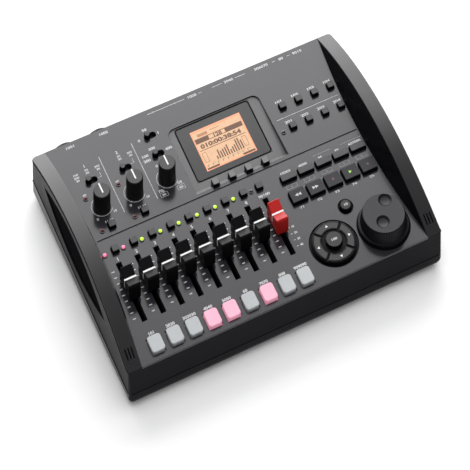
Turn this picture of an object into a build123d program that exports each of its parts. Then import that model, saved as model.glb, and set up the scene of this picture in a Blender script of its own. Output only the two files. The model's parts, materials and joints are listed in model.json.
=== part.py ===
from build123d import *
from math import atan2, cos, degrees, radians, sin, sqrt
import os

# Multitrack recorder: a tabletop console with nine faders, nine pads, transport
# keys, a jog dial and a display, in a two-part case with arched side rails.
# X runs to the right, Y to the rear and Z up, in millimetres. The origin is the
# centre of the footprint, at the height that the rubber feet stand on.

# Case sizes
case_width = 257.0
case_depth = 188.0
jack_stand = 2.0
foot_height = 1.5
deck_rise = 5.0
board_gap = 1.03
seam_depth = 17.7
fascia_rake = 1.8
wall = 2.5
floor_thickness = 2.2
corner_radius = 3.0
side_roundover = 6.0
seam_groove = 0.5
fit_gap = 0.3
snug_gap = 0.1
overrun = 10.0

# Side rails and their gloss inserts
rail_width = 11.0
rail_rise = 18.74
band_thickness = 1.6
rail_groove = 0.6
lens_height = 23.5
lens_recess = 0.8
insert_spread = 7.8
ledge_width = 3.0
ledge_height = 2.5
mic_slot_length = 7.0
mic_slot_width = 1.0
mic_slot_pitch = 2.4
mic_slot_inset = 12.0
mic_radius = 2.4
mic_length = 2.0

# Top panel and main board
panel_thickness = 2.0
groove_width = 1.2
groove_depth = 0.8
groove_inset = 8.0
board_depth = 10.0
board_thickness = 1.6
board_inset_x = 9.5
board_front_inset = 5.0
board_rear_gap = 1.0
post_radius = 2.5

# Channel strips
fader_count = 9
slot_width = 4.4
track_overlap = 4.0
cap_length = 19.0
cap_height = 12.0
cap_lift = 1.2
cap_dip = 3.2
cap_ridge = 1.5
cap_bevel = 0.8
cap_skirt = 0.7
blade_length = 5.0
blade_width = 1.4
blade_depth = 6.6
blade_gap = 0.4
pad_height = 2.4
pad_corner = 2.4
pad_edge = 0.7

# Keys
key_size = 5.4
key_height = 2.6
key_edge = 0.5
key_flange = 1.0
key_flange_thickness = 1.0
key_travel = 0.8
key_spacing = 2.3
switch_gap = 0.15
switch_size = 3.4
transport_height = 2.7
transport_count = 5
function_column_count = 4
soft_key_count = 4
input_key_count = 2

# Input controls
knob_count = 3
knob_radius = 6.5
knob_skirt_radius = 6.8
knob_height = 15.0
knob_skirt_height = 1.4
knob_edge = 0.6
knob_flute_radius = 0.45
knob_flute_count = 32
shaft_radius = 3.0
shaft_gap = 0.05
bush_radius = 3.5
bush_drop = 1.2
pot_size = 12.0
lever_radius = 2.3
lever_height = 3.4
lever_travel = 4.8
lever_base_length = 11.6
lever_base_width = 5.8
lever_base_thickness = 1.2
light_rise = 0.6

# Display
pocket_ramp = 5.2
pocket_rear_depth = 1.0
pocket_front_depth = 4.2
pocket_corner = 6.0
pocket_wall = 1.5
window_thickness = 1.2

# Jog dial, cursor keys and round buttons
dial_height = 11.0
dial_skirt_height = 3.0
dial_recess = 0.8
dial_rib_count = 60
dial_rib_depth = 0.35
dimple_depth = 1.7
cursor_well_depth = 1.0
cursor_gap = 1.8
cursor_spider_height = 1.6
cursor_key_height = 2.2
enter_height = 4.2
exit_radius = 4.6
exit_well_radius = 6.1
exit_height = 2.2

# Rear sockets, battery bay, feet and screws
input_jack_count = 2
input_jack_bore = 9.0
jack_rim_gap = 1.3
input_jack_shell = 1.8
input_jack_drop = 13.6
line_jack_drop = 11.7
socket_drop = 12.7
line_jack_bore = 3.2
line_jack_nut = 5.2
line_jack_body = 12.0
volume_radius = 7.5
volume_thickness = 2.8
volume_proud = 1.2
socket_width = 9.0
socket_height = 7.0
socket_depth = 12.0
power_slot_height = 4.6
power_lever_width = 5.0
power_lever_depth = 6.0
power_travel = 2.6
battery_radius = 7.1
battery_length = 50.0
battery_count = 4
battery_gap = 0.5
bay_wall = 1.5
bay_play = 2.5
cover_thickness = 1.8
cover_lip = 2.5
foot_radius = 6.5
foot_inset_x = 22.0
foot_inset_y = 20.0
screw_inset_x = 9.0
screw_inset_y = 15.0
screw_radius = 1.5
screw_head_radius = 2.8
screw_head_depth = 2.0
screw_length = 14.0
boss_radius = 4.2

# The layout's grid: the panel is set out in steps, the same number whatever the case's size
grid_column_count = 235
grid_row_count = 188
across = (case_width - 2 * rail_width) / grid_column_count
along = case_depth / grid_row_count

# Places and sizes across the case, in steps from its middle
column_x = -101.6 * across
column_pitch = 15.16 * across
track_width = 9.0 * across
cap_width = 9.4 * across
pad_width = 10.6 * across
track_light_offset = -6.9 * across
track_key_offset = 1.8 * across
light_radius = 1.9 * across
transport_x = 43.2 * across
transport_pitch = 14.9 * across
function_x = 65.7 * across
function_pitch = 13.95 * across
soft_key_x = -9.0 * across
soft_key_pitch = 14.07 * across
input_key_x = -94.2 * across
knob_x = -94.8 * across
knob_pitch = 27.1 * across
pocket_left = -25.5 * across
pocket_right = 52.5 * across
window_x = 12.2 * across
window_width = 63.5 * across
lcd_width = 44.0 * across
dial_x = 91.6 * across
dial_radius = 19.3 * across
dial_top_radius = 16.2 * across
dimple_radius = 5.2 * across
cursor_x = 51.0 * across
cursor_well_radius = 19.0 * across
cursor_spider_radius = 16.8 * across
cursor_outer_radius = 16.2 * across
cursor_inner_radius = 9.6 * across
enter_radius = 6.2 * across
exit_x = 72.4 * across
input_jack_x = -101.5 * across
input_jack_pitch = 28.7 * across
volume_x = 42.0 * across
socket_x = 86.2 * across
power_x = 107.0 * across
line_jack_places = [step * across for step in (-27.7, -9.6, 22.0, 65.6)]

# Places and sizes along the case, in steps from its middle, to the rear
lens_length = 117.0 * along
lens_centre_y = 8.5 * along
groove_y = 8.6 * along
slot_front_y = -62.4 * along
slot_length = 49.6 * along
cap_rest_y = -35.5 * along
pad_y = -82.3 * along
pad_length = 13.0 * along
track_light_y = -3.6 * along
track_key_y = -2.9 * along
upper_transport_y = -5.8 * along
lower_transport_y = -22.8 * along
bar_key_length = 5.8 * along
transport_key_length = 10.6 * along
function_upper_y = 50.3 * along
function_lower_y = 31.6 * along
soft_key_y = 13.9 * along
input_key_y = 16.2 * along
knob_y = 33.8 * along
pocket_front = 11.8 * along
pocket_rear = 69.5 * along
window_y = 45.6 * along
window_length = 46.0 * along
lcd_y = 45.0 * along
lcd_length = 35.4 * along
dial_y = -70.3 * along
cursor_y = -67.6 * along
exit_y = -44.9 * along
input_jack_depth = 24.0 * along
line_jack_depth = 26.0 * along
bay_centre_y = 31.0 * along


def on_grid(*steps):
    """Places on the panel, from (across, along) steps."""
    return [(x * across, y * along) for x, y in steps]


post_places = on_grid((-110, -70), (30.5, -45), (110, -40), (-110, 60), (57, 60), (112, 20))
switch_places = on_grid((-96.2, 56.4), (-68.5, 55), (-41, 55), (-40.6, 71.6))
input_light_places = on_grid((-103.7, 44.4), (-76.5, 44.8), (-102.5, 15.2), (-75.6, 15.4))
function_light_place = on_grid((57, 30.3))[0]
dimple_places = on_grid((5.8, 9.2), (-3.6, -5.8))

# Worked out from the sizes above
power_slot_width = power_lever_width + 2 * (power_travel + fit_gap)
front_y = -(case_depth + jack_stand) / 2
rear_y = front_y + case_depth
side_x = case_width / 2
rail_x = side_x - rail_width
bay_floor_z = foot_height + cover_thickness
bay_roof_z = bay_floor_z + 2 * battery_radius + 2 * fit_gap
deck_slope = deck_rise / case_depth
tilt = degrees(atan2(deck_rise, case_depth))
deck_mid_z = bay_roof_z + bay_wall + board_gap + board_thickness + board_depth
deck_rear_z = deck_mid_z + rear_y * deck_slope
mic_slot_y = front_y + mic_slot_inset
bar_key_width = transport_pitch - key_spacing
groove_half_length = rail_x - groove_inset
board_width = 2 * (rail_x - board_inset_x)
board_front_y = front_y + board_front_inset
board_rear_y = rear_y - line_jack_depth - board_rear_gap
input_jack_z = deck_rear_z - input_jack_drop
input_jack_rim = input_jack_pitch / 2 - jack_rim_gap
line_jack_z = deck_rear_z - line_jack_drop
socket_z = deck_rear_z - socket_drop
DECK = Pos(0, 0, deck_mid_z) * Rot(tilt, 0, 0)
LOW = (Align.CENTER, Align.CENTER, Align.MIN)
TOP = (Align.CENTER, Align.CENTER, Align.MAX)


def deck_z(y):
    """The height of the panel's face at a place along the case."""
    return deck_mid_z + y * deck_slope


def column(i):
    """The X of a channel strip, counted from the left."""
    return column_x + i * column_pitch


def side_prism(points, x0, x1):
    """A side outline, given as (y, z) points, carried from x0 to x1."""
    outline = make_face(Polyline([Vector(x0, y, z) for y, z in points], close=True))
    return extrude(outline, amount=x1 - x0, dir=(1, 0, 0))


def slab(y0, y1, depth0, depth1, x0, x1):
    """A layer of the case between two depths below the deck."""
    ring = [(y0, deck_z(y0) - depth1), (y0, deck_z(y0) - depth0)]
    ring += [(y1, deck_z(y1) - depth0), (y1, deck_z(y1) - depth1)]
    return side_prism(ring, x0, x1)


def block(x, y, z0, z1, width, length):
    """A box on the deck from z0 to z1, centred on x and y."""
    return Pos(x, y, z0) * Box(width, length, z1 - z0, align=LOW)


def rod(x, y, z0, z1, radius):
    """A cylinder on the deck from z0 to z1."""
    return Pos(x, y, z0) * Cylinder(radius, z1 - z0, align=LOW)


def rounded_block(x, y, z0, z1, width, length, radius):
    """A box on the deck with rounded upright edges."""
    return Pos(x, y, z0) * extrude(RectangleRounded(width, length, radius), amount=z1 - z0)


def rear_rod(x, z, y0, y1, radius):
    """A cylinder along Y from y0 to y1."""
    return Pos(x, y0, z) * Rot(-90, 0, 0) * Cylinder(radius, y1 - y0, align=LOW)


def rear_block(x, z, y0, y1, width, height):
    """A box from y0 to y1 behind the rear wall, centred on x and z."""
    return Pos(x, (y0 + y1) / 2, z) * Box(width, y1 - y0, height)


# The rails are arcs over a chord that lies on the deck.
chord_front = (front_y + fascia_rake, deck_z(front_y + fascia_rake))
chord_rear = (rear_y, deck_z(rear_y))
chord_half = (chord_rear[0] - chord_front[0]) / 2 / cos(radians(tilt))
chord_y = (chord_front[0] + chord_rear[0]) / 2
rail_radius = (chord_half**2 + rail_rise**2) / (2 * rail_rise)
rail_centre = (
    chord_y + (rail_radius - rail_rise) * sin(radians(tilt)),
    deck_z(chord_y) - (rail_radius - rail_rise) * cos(radians(tilt)),
)


def arc_segment(radius, x0, x1):
    """The part above the deck of a disc about the rail's centre, carried from x0 to x1."""
    disc = Pos(x0, *rail_centre) * Rot(0, 90, 0) * Cylinder(radius, x1 - x0, align=LOW)
    return disc & slab(front_y - overrun, rear_y + overrun, -rail_rise - overrun, 0, x0, x1)


def arch(drop, x0, x1):
    """The arched rail between its ends, lowered by drop below the rail's top face."""
    return arc_segment(rail_radius - drop, x0, x1) & slab(
        chord_front[0], rear_y, -rail_rise - overrun, 0, x0, x1
    )


def lens(grow, x0, x1):
    """The lens outline on the flank, grown by grow, carried from x0 to x1."""
    half = lens_length / 2 + grow
    swell = lens_height / 2 + grow
    lean = radians(tilt)
    middle = (lens_centre_y, deck_z(lens_centre_y))
    along = (half * cos(lean), half * sin(lean))
    across = (-swell * sin(lean), swell * cos(lean))
    rear = Vector(x0, middle[0] + along[0], middle[1] + along[1])
    front = Vector(x0, middle[0] - along[0], middle[1] - along[1])
    upper = Vector(x0, middle[0] + across[0], middle[1] + across[1])
    lower = Vector(x0, middle[0] - across[0], middle[1] - across[1])
    rim = ThreePointArc(front, upper, rear) + ThreePointArc(rear, lower, front)
    return extrude(make_face(rim), amount=x1 - x0, dir=(1, 0, 0))


def both_sides(piece):
    """The piece on the right flank and its mirror image on the left."""
    return piece + mirror(piece, about=Plane.YZ)


plan = Pos(0, (front_y + rear_y) / 2, 0) * extrude(
    RectangleRounded(case_width, case_depth, corner_radius), amount=deck_rear_z + rail_rise + overrun
)
screw_rows = (front_y + screw_inset_y, rear_y - screw_inset_y)
screw_places = [(side * (side_x - screw_inset_x), y) for side in (-1, 1) for y in screw_rows]
input_jack_places = [input_jack_x + i * input_jack_pitch for i in range(input_jack_count)]
battery_pitch = 2 * battery_radius + battery_gap
bay_width = battery_length + 2 * bay_play
bay_length = battery_count * battery_pitch + battery_gap
cover_width = bay_width + 2 * cover_lip
cover_length = bay_length + 2 * cover_lip


def rear_openings(grow):
    """Everything that comes through the rear wall, grown by grow."""
    inner = rear_y - wall - overrun
    outer = rear_y + overrun
    shell = input_jack_bore + input_jack_shell + grow
    cuts = [rear_rod(x, input_jack_z, inner, outer, shell) for x in input_jack_places]
    cuts += [rear_rod(x, line_jack_z, inner, outer, line_jack_nut + grow) for x in line_jack_places]
    mouth = (socket_width + 2 * grow, socket_height + 2 * grow)
    cuts.append(rear_block(socket_x, socket_z, inner, outer, *mouth))
    cuts.append(rear_block(power_x, socket_z, inner, outer, power_slot_width, power_slot_height))
    slot = volume_thickness + 2 * fit_gap
    cuts.append(rear_block(volume_x, line_jack_z, inner, outer, 2 * volume_radius, slot))
    return cuts


def make_upper_case():
    """The black frame: fascia, rear wall, flanks and the cores of the arched rails."""
    outline = [(front_y, deck_z(front_y) - seam_depth), chord_front]
    outline += [chord_rear, (rear_y, deck_z(rear_y) - seam_depth)]
    case = side_prism(outline, -side_x, side_x)
    core = arch(band_thickness, rail_x, side_x)
    lip = arch(0, side_x - rail_groove, side_x) - arc_segment(
        rail_radius - band_thickness - rail_groove, side_x - rail_groove, side_x
    )
    case += both_sides(core - lip)
    case &= plan
    inner_front = front_y + fascia_rake + wall
    inner_rear = rear_y - wall
    ledge_x = rail_x - ledge_width
    case -= slab(inner_front, inner_rear, -overrun, seam_depth + overrun, -ledge_x, ledge_x)
    hollow_top = panel_thickness + ledge_height
    case -= slab(inner_front, inner_rear, hollow_top, seam_depth + overrun, wall - side_x, side_x - wall)
    case -= slab(front_y - overrun, rear_y + overrun, 0, panel_thickness, -rail_x, rail_x)
    case -= both_sides(lens(snug_gap, rail_x - snug_gap, side_x + overrun))
    for x, y in screw_places:
        boss = Pos(x, y, 0) * Cylinder(boss_radius, deck_rear_z, align=LOW)
        case += boss & slab(inner_front, inner_rear, hollow_top, seam_depth, wall - side_x, side_x - wall)
        case -= Pos(x, y, 0) * Cylinder(screw_radius + shaft_gap, foot_height + screw_length, align=LOW)
    for side in (-1, 1):
        x = side * (side_x - rail_width / 2)
        well = rod(x, mic_slot_y, -overrun, overrun, mic_radius + snug_gap)
        case -= DECK * well
    for cut in rear_openings(fit_gap):
        case -= cut
    return case


def make_rail_bands():
    """The two arched caps of the rails, each with three short slots over its microphone."""
    band = arch(0, rail_x, side_x) - arc_segment(rail_radius - band_thickness, rail_x, side_x)
    band &= plan
    middle = side_x - rail_width / 2
    for i in (-1, 0, 1):
        band -= DECK * block(
            middle + i * mic_slot_pitch, mic_slot_y, -overrun, overrun, mic_slot_width, mic_slot_length
        )
    return [band.solid(), mirror(band, about=Plane.YZ).solid()]


def make_side_inserts():
    """The two gloss inserts: a lens in the flank and a sloping wall inside the rail."""
    face = arch(band_thickness, rail_x, rail_x + wall).faces().sort_by(Axis.X)[0]
    lean = insert_spread / rail_rise
    reach = rail_rise + overrun
    inner = extrude(face, amount=reach * sqrt(1 + lean**2), dir=Vector(-lean, 0, -1).normalized())
    above = slab(front_y, rear_y, -rail_rise - overrun, 0, rail_x - reach, rail_x)
    insert = (inner & above) + lens(0, rail_x, side_x - lens_recess)
    return [insert.solid(), mirror(insert, about=Plane.YZ).solid()]


def make_bottom_case():
    """The lower shell with its rounded flanks, screw bosses and battery bay."""
    low = foot_height
    outline = [(front_y, low), (front_y, deck_z(front_y) - seam_depth)]
    outline += [(rear_y, deck_z(rear_y) - seam_depth), (rear_y, low)]
    shell = side_prism(outline, -side_x, side_x) & plan
    edges = [e for e in shell.edges().filter_by(Axis.Y) if abs(e.center().Z - low) < fit_gap]
    shell = fillet(edges, side_roundover)
    floor = low + floor_thickness
    room = [(front_y + wall, floor), (front_y + wall, deck_rear_z)]
    room += [(rear_y - wall, deck_rear_z), (rear_y - wall, floor)]
    hollow = side_prism(room, wall - side_x, side_x - wall)
    inner_edges = [e for e in hollow.edges().filter_by(Axis.Y) if abs(e.center().Z - floor) < fit_gap]
    shell -= fillet(inner_edges, side_roundover - wall)
    groove = slab(front_y - overrun, rear_y + overrun, seam_depth, seam_depth + seam_groove, -side_x, side_x)
    core = Pos(0, (front_y + rear_y) / 2, 0) * Box(
        case_width - 2 * seam_groove, case_depth - 2 * seam_groove, deck_rear_z + overrun, align=LOW
    )
    shell -= groove - core
    bay = Pos(0, bay_centre_y, low) * Box(
        bay_width + 2 * bay_wall, bay_length + 2 * bay_wall, bay_roof_z + bay_wall - low, align=LOW
    )
    shell += bay
    shell -= Pos(0, bay_centre_y, 0) * Box(bay_width, bay_length, bay_roof_z, align=LOW)
    shell -= Pos(0, bay_centre_y, 0) * Box(
        cover_width + 2 * fit_gap, cover_length + 2 * fit_gap, low + cover_thickness, align=LOW
    )
    for x, y in screw_places:
        boss = Pos(x, y, low) * Cylinder(boss_radius, deck_z(y) - seam_depth - low, align=LOW)
        shell += boss & slab(front_y, rear_y, seam_depth, seam_depth + deck_rear_z, -side_x, side_x)
        shell -= Pos(x, y, 0) * Cylinder(screw_radius + snug_gap, deck_rear_z, align=LOW)
        shell -= Pos(x, y, 0) * Cylinder(screw_head_radius + snug_gap, low + screw_head_depth, align=LOW)
    for cut in rear_openings(fit_gap):
        shell -= cut
    return shell


def key_hole(x, y, width, length):
    """A square hole in the panel for a key."""
    return block(x, y, -panel_thickness - overrun, overrun, width + 2 * fit_gap, length + 2 * fit_gap)


small_keys = {
    "track_keys": [(column(i) + track_key_offset, track_key_y) for i in range(fader_count - 1)]
    + [(column(fader_count - 1), track_key_y)],
    "function_keys": [
        (function_x + i * function_pitch, y)
        for y in (function_upper_y, function_lower_y)
        for i in range(function_column_count)
    ],
    "soft_keys": [(soft_key_x + i * soft_key_pitch, soft_key_y) for i in range(soft_key_count)],
    "input_keys": [(input_key_x + i * knob_pitch, input_key_y) for i in range(input_key_count)],
}
transport_places = [transport_x + i * transport_pitch for i in range(transport_count)]
knob_places = [(knob_x + i * knob_pitch, knob_y) for i in range(knob_count)]
light_places = [(column(i) + track_light_offset, track_light_y) for i in range(fader_count)]
light_places += input_light_places + [function_light_place]
soft_key_guide = pocket_front_depth + pocket_wall
window_tilt = degrees(
    atan2(pocket_front_depth - pocket_rear_depth, pocket_rear - pocket_front - pocket_ramp)
)


def floor_depth(y):
    """How far the display pocket's sloping floor lies below the deck."""
    share = (pocket_rear - y) / (pocket_rear - pocket_front - pocket_ramp)
    return pocket_rear_depth + (pocket_front_depth - pocket_rear_depth) * share


def pocket_prism(grow, drop, top):
    """The display pocket's room, or its outer form when grown and dropped."""
    ramp_end = pocket_front + pocket_ramp
    ring = [
        (pocket_rear + grow, top),
        (pocket_rear + grow, -pocket_rear_depth - drop),
        (ramp_end - grow, -pocket_front_depth - drop),
        (pocket_front - grow, -drop),
        (pocket_front - grow, top),
    ]
    room = side_prism(ring, pocket_left - grow, pocket_right + grow)
    width = pocket_right - pocket_left + 2 * grow
    length = pocket_rear - pocket_front + 2 * grow + pocket_corner
    outline = Pos((pocket_left + pocket_right) / 2, pocket_rear + grow - length / 2) * RectangleRounded(
        width, length, pocket_corner
    )
    return room & Pos(0, 0, -overrun) * extrude(outline, amount=2 * overrun)


def on_floor(y):
    """The display pocket's floor at y, as a place."""
    return Pos(window_x, y, -floor_depth(y)) * Rot(window_tilt, 0, 0)


def make_top_panel():
    """The grey deck plate with the display pocket, the key holes and the slots."""
    plate = slab(chord_front[0], rear_y, 0, panel_thickness, snug_gap - rail_x, rail_x - snug_gap)
    panel = DECK.inverse() * plate
    panel += pocket_prism(pocket_wall, pocket_wall, -panel_thickness / 2)
    for x, y in post_places:
        panel += rod(x, y, -board_depth, -panel_thickness / 2, post_radius)
    panel -= pocket_prism(0, 0, overrun)
    panel -= on_floor(window_y) * Box(
        window_width + 2 * snug_gap, window_length + 2 * snug_gap, 2 * window_thickness
    )
    panel -= block(window_x, lcd_y, -overrun, 0, lcd_width + 2 * fit_gap, lcd_length + 2 * fit_gap)
    panel -= block(0, groove_y, -groove_depth, overrun, 2 * groove_half_length, groove_width)
    cuts = [key_hole(x, y, key_size, key_size) for places in small_keys.values() for x, y in places]
    cuts += [key_hole(x, upper_transport_y, bar_key_width, bar_key_length) for x in transport_places]
    cuts += [key_hole(x, lower_transport_y, bar_key_width, transport_key_length) for x in transport_places]
    for i in range(fader_count):
        middle = slot_front_y + slot_length / 2
        cuts.append(block(column(i), middle, -overrun, overrun, slot_width, slot_length))
        cuts.append(key_hole(column(i), pad_y, pad_width, pad_length))
    cuts += [rod(x, y, -overrun, overrun, bush_radius + fit_gap) for x, y in knob_places]
    cuts += [rod(x, y, -overrun, overrun, light_radius + snug_gap) for x, y in light_places]
    for x, y in switch_places:
        radius = lever_radius + fit_gap
        width = lever_travel + 2 * radius
        middle = x + lever_travel / 2
        cuts.append(rounded_block(middle, y, -overrun, overrun, width, 2 * radius, radius - snug_gap))
    cuts.append(rod(dial_x, dial_y, -dial_recess, overrun, dial_radius + fit_gap))
    cuts.append(rod(dial_x, dial_y, -overrun, overrun, bush_radius + fit_gap))
    cuts.append(rod(exit_x, exit_y, -overrun, overrun, exit_radius + fit_gap))
    cuts.append(rod(exit_x, exit_y, -cursor_well_depth, overrun, exit_well_radius))
    cuts.append(rod(cursor_x, cursor_y, -cursor_well_depth, overrun, cursor_well_radius))
    for cut in cuts:
        panel -= cut
    spider = rod(cursor_x, cursor_y, -cursor_well_depth, cursor_spider_height, cursor_spider_radius)
    spider -= rod(cursor_x, cursor_y, -overrun, overrun, enter_radius + fit_gap)
    panel += spider
    for key in cursor_segments(fit_gap, -overrun, overrun):
        panel -= key
    panel -= rod(cursor_x, cursor_y, -overrun, overrun, enter_radius + fit_gap)
    return DECK * panel


def cursor_segments(grow, z0, z1):
    """The four arrow keys' outlines between z0 and z1, grown by grow."""
    ring = rod(cursor_x, cursor_y, z0, z1, cursor_outer_radius + grow)
    ring -= rod(cursor_x, cursor_y, z0, z1, cursor_inner_radius - grow)
    width = cursor_gap - 2 * grow
    span = 4 * cursor_outer_radius
    for turn in (45, -45):
        ring -= Pos(cursor_x, cursor_y, z0) * Rot(0, 0, turn) * Box(span, width, z1 - z0, align=LOW)
    return list(ring.solids())


def key_solid(x, y, width, length, height, radius, edge, guide_depth=panel_thickness):
    """A key cap with its guide flange under the panel."""
    flange_z = -guide_depth - fit_gap
    top = rounded_block(x, y, flange_z, height, width, length, radius)
    top = fillet(top.faces().sort_by(Axis.Z)[-1].edges(), edge)
    flange = block(
        x, y, flange_z - key_flange_thickness, flange_z, width + 2 * key_flange, length + 2 * key_flange
    )
    return (top + flange).solid()


def make_main_board():
    """The circuit board under the panel, with one push switch under each key."""
    middle = (board_front_y + board_rear_y) / 2
    length = board_rear_y - board_front_y
    board = block(0, middle, -board_depth - board_thickness, -board_depth, board_width, length)
    stroke = fit_gap + key_flange_thickness + key_travel + switch_gap
    for x, y in small_keys["soft_keys"]:
        board += block(x, y, -board_depth, -soft_key_guide - stroke, switch_size, switch_size)
    places = [place for name, group in small_keys.items() if name != "soft_keys" for place in group]
    places += [(x, y) for x in transport_places for y in (upper_transport_y, lower_transport_y)]
    places += [(column(i), pad_y) for i in range(fader_count)]
    places += [(exit_x, exit_y), (cursor_x, cursor_y)]
    arm = (cursor_outer_radius + cursor_inner_radius) / 2
    places += [(cursor_x + arm, cursor_y), (cursor_x - arm, cursor_y)]
    places += [(cursor_x, cursor_y + arm), (cursor_x, cursor_y - arm)]
    for x, y in places:
        board += block(x, y, -board_depth, -panel_thickness - stroke, switch_size, switch_size)
    return DECK * board


def make_fader_tracks():
    """The nine slide controls under the panel, each with the groove its blade runs in."""
    tracks = []
    for i in range(fader_count):
        middle = slot_front_y + slot_length / 2
        body = block(
            column(i), middle, -board_depth, -panel_thickness, track_width, slot_length + 2 * track_overlap
        )
        groove_low = -panel_thickness - blade_depth
        groove = block(column(i), middle, groove_low, overrun, blade_width + 2 * blade_gap, slot_length)
        tracks.append((DECK * (body - groove)).solid())
    return tracks


def make_fader_cap(i):
    """A saddle-shaped cap, high at both ends, on the blade that runs in its track."""
    x = column(i)
    half = cap_length / 2
    top = cap_lift + cap_height
    ring = [
        (cap_rest_y - half, cap_lift),
        (cap_rest_y - half + cap_skirt, top - cap_bevel),
        (cap_rest_y - half + cap_ridge, top),
        (cap_rest_y, top - cap_dip),
        (cap_rest_y + half - cap_ridge, top),
        (cap_rest_y + half - cap_skirt, top - cap_bevel),
        (cap_rest_y + half, cap_lift),
    ]
    cap = side_prism(ring, x - cap_width / 2, x + cap_width / 2)
    blade_low = -panel_thickness - blade_depth + fit_gap
    blade = block(x, cap_rest_y, blade_low, cap_lift + cap_ridge, blade_width, blade_length)
    return (DECK * (cap + blade)).solid()


def make_pots():
    """The three rotary controls and the dial's encoder, with their bushes."""
    pots = []
    for x, y in knob_places + [(dial_x, dial_y)]:
        body = block(x, y, -board_depth, -panel_thickness - fit_gap, pot_size, pot_size)
        body += rod(x, y, -panel_thickness - fit_gap, -bush_drop, bush_radius)
        body -= rod(x, y, -panel_thickness - blade_depth, overrun, shaft_radius + shaft_gap)
        pots.append((DECK * body).solid())
    return pots


def make_knob(place):
    """A tall fluted knob on its shaft."""
    x, y = place
    knob = rod(x, y, fit_gap, knob_skirt_height, knob_skirt_radius)
    body = rod(x, y, knob_skirt_height, knob_height, knob_radius)
    body = chamfer(body.faces().sort_by(Axis.Z)[-1].edges(), knob_edge)
    knob += body
    for i in range(knob_flute_count):
        turn = 360 * i / knob_flute_count
        reach = knob_radius + knob_flute_radius / 2
        flute = rod(reach, 0, knob_skirt_height, overrun + knob_height, knob_flute_radius)
        knob -= Pos(x, y, 0) * Rot(0, 0, turn) * flute
    knob += rod(x, y, -panel_thickness - blade_depth + fit_gap, knob_skirt_height, shaft_radius)
    return (DECK * knob).solid()


def make_jog_dial():
    """The ribbed dial with its two finger dimples, on its shaft."""
    lean = dial_radius - dial_top_radius
    profile = [
        Vector(0, 0, dial_height),
        Vector(dial_top_radius - key_edge, 0, dial_height),
        Vector(dial_top_radius, 0, dial_height - key_edge),
        Vector(dial_radius - lean / 2, 0, dial_skirt_height),
        Vector(dial_radius, 0, dial_skirt_height - key_edge),
        Vector(dial_radius, 0, fit_gap - dial_recess),
        Vector(0, 0, fit_gap - dial_recess),
    ]
    dial = revolve(make_face(Polyline(profile, close=True)), axis=Axis.Z)
    for i in range(dial_rib_count):
        notch = Pos(dial_radius, 0, dial_skirt_height / 2) * Rot(0, 0, 45)
        cutter = notch * Box(2 * dial_rib_depth, 2 * dial_rib_depth, dial_skirt_height - 2 * key_edge)
        dial -= Rot(0, 0, 360 * i / dial_rib_count) * cutter
    ball = (dimple_radius**2 + dimple_depth**2) / (2 * dimple_depth)
    for px, py in dimple_places:
        dial -= Pos(px, py, dial_height + ball - dimple_depth) * Sphere(ball)
    dial += rod(0, 0, -panel_thickness - blade_depth + fit_gap, 0, shaft_radius)
    return (DECK * Pos(dial_x, dial_y, 0) * dial).solid()


def make_lever(place):
    """A slide switch: a round lever on a flat slider under the panel."""
    x, y = place
    low = -panel_thickness - fit_gap - lever_base_thickness
    slider = block(x, y, low, -panel_thickness - fit_gap, lever_base_length, lever_base_width)
    lever = rod(x, y, -panel_thickness - fit_gap, lever_height, lever_radius)
    lever = chamfer(lever.faces().sort_by(Axis.Z)[-1].edges(), key_edge)
    return (DECK * (slider + lever)).solid()


def make_cursor_keys():
    """The four arrow keys round the enter button."""
    keys = []
    for outline in cursor_segments(0, -panel_thickness - fit_gap - key_flange_thickness, cursor_key_height):
        keys.append((DECK * outline).solid())
    return keys


def make_round_button(x, y, radius, height):
    """A round button with a guide flange under the panel."""
    button = rod(x, y, -panel_thickness - fit_gap, height, radius)
    button = fillet(button.faces().sort_by(Axis.Z)[-1].edges(), key_edge)
    low = -panel_thickness - fit_gap - key_flange_thickness
    return (DECK * (button + rod(x, y, low, -panel_thickness - fit_gap, radius + key_flange))).solid()


def make_window():
    """The clear window over the display."""
    pane = Box(window_width, window_length, window_thickness, align=TOP)
    return (DECK * on_floor(window_y) * pane).solid()


def make_lcd():
    """The display module between the board and the window."""
    low = -board_depth
    y0 = lcd_y - lcd_length / 2
    y1 = lcd_y + lcd_length / 2
    top = window_thickness + fit_gap
    ring = [(y0, low), (y0, -floor_depth(y0) - top), (y1, -floor_depth(y1) - top), (y1, low)]
    return (DECK * side_prism(ring, window_x - lcd_width / 2, window_x + lcd_width / 2)).solid()


def make_lights():
    """The light pipes of the status lamps, from the board to just above the panel."""
    return [(DECK * rod(x, y, -board_depth, light_rise, light_radius)).solid() for x, y in light_places]


def make_mics():
    """The microphone capsules in the rails, under their slots."""
    capsules = []
    for side in (-1, 1):
        x = side * (side_x - rail_width / 2)
        capsules.append((DECK * rod(x, mic_slot_y, -mic_length, 0, mic_radius)).solid())
    return capsules


def make_input_jacks():
    """The two combined microphone and line inputs, with round rims behind the rear wall."""
    jacks = []
    for x in input_jack_places:
        back = rear_y - input_jack_depth
        body = rear_rod(x, input_jack_z, back, rear_y, input_jack_bore + input_jack_shell)
        body += rear_rod(x, input_jack_z, rear_y, rear_y + jack_stand, input_jack_rim)
        body -= rear_rod(x, input_jack_z, back + wall, rear_y + overrun, input_jack_bore)
        body += rear_rod(x, input_jack_z, back, rear_y - wall, line_jack_nut + wall)
        body -= rear_rod(x, input_jack_z, back, rear_y + overrun, line_jack_bore)
        jacks.append(body.solid())
    return jacks


def make_line_jacks():
    """The two line outputs, the headphone jack and the foot control jack."""
    jacks = []
    for x in line_jack_places:
        face = rear_y - wall - fit_gap
        body = rear_block(x, line_jack_z, rear_y - line_jack_depth, face, line_jack_body, line_jack_body)
        body += rear_rod(x, line_jack_z, face, rear_y, line_jack_nut)
        body -= rear_rod(x, line_jack_z, rear_y - line_jack_depth, rear_y + overrun, line_jack_bore)
        jacks.append(body.solid())
    return jacks


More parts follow.
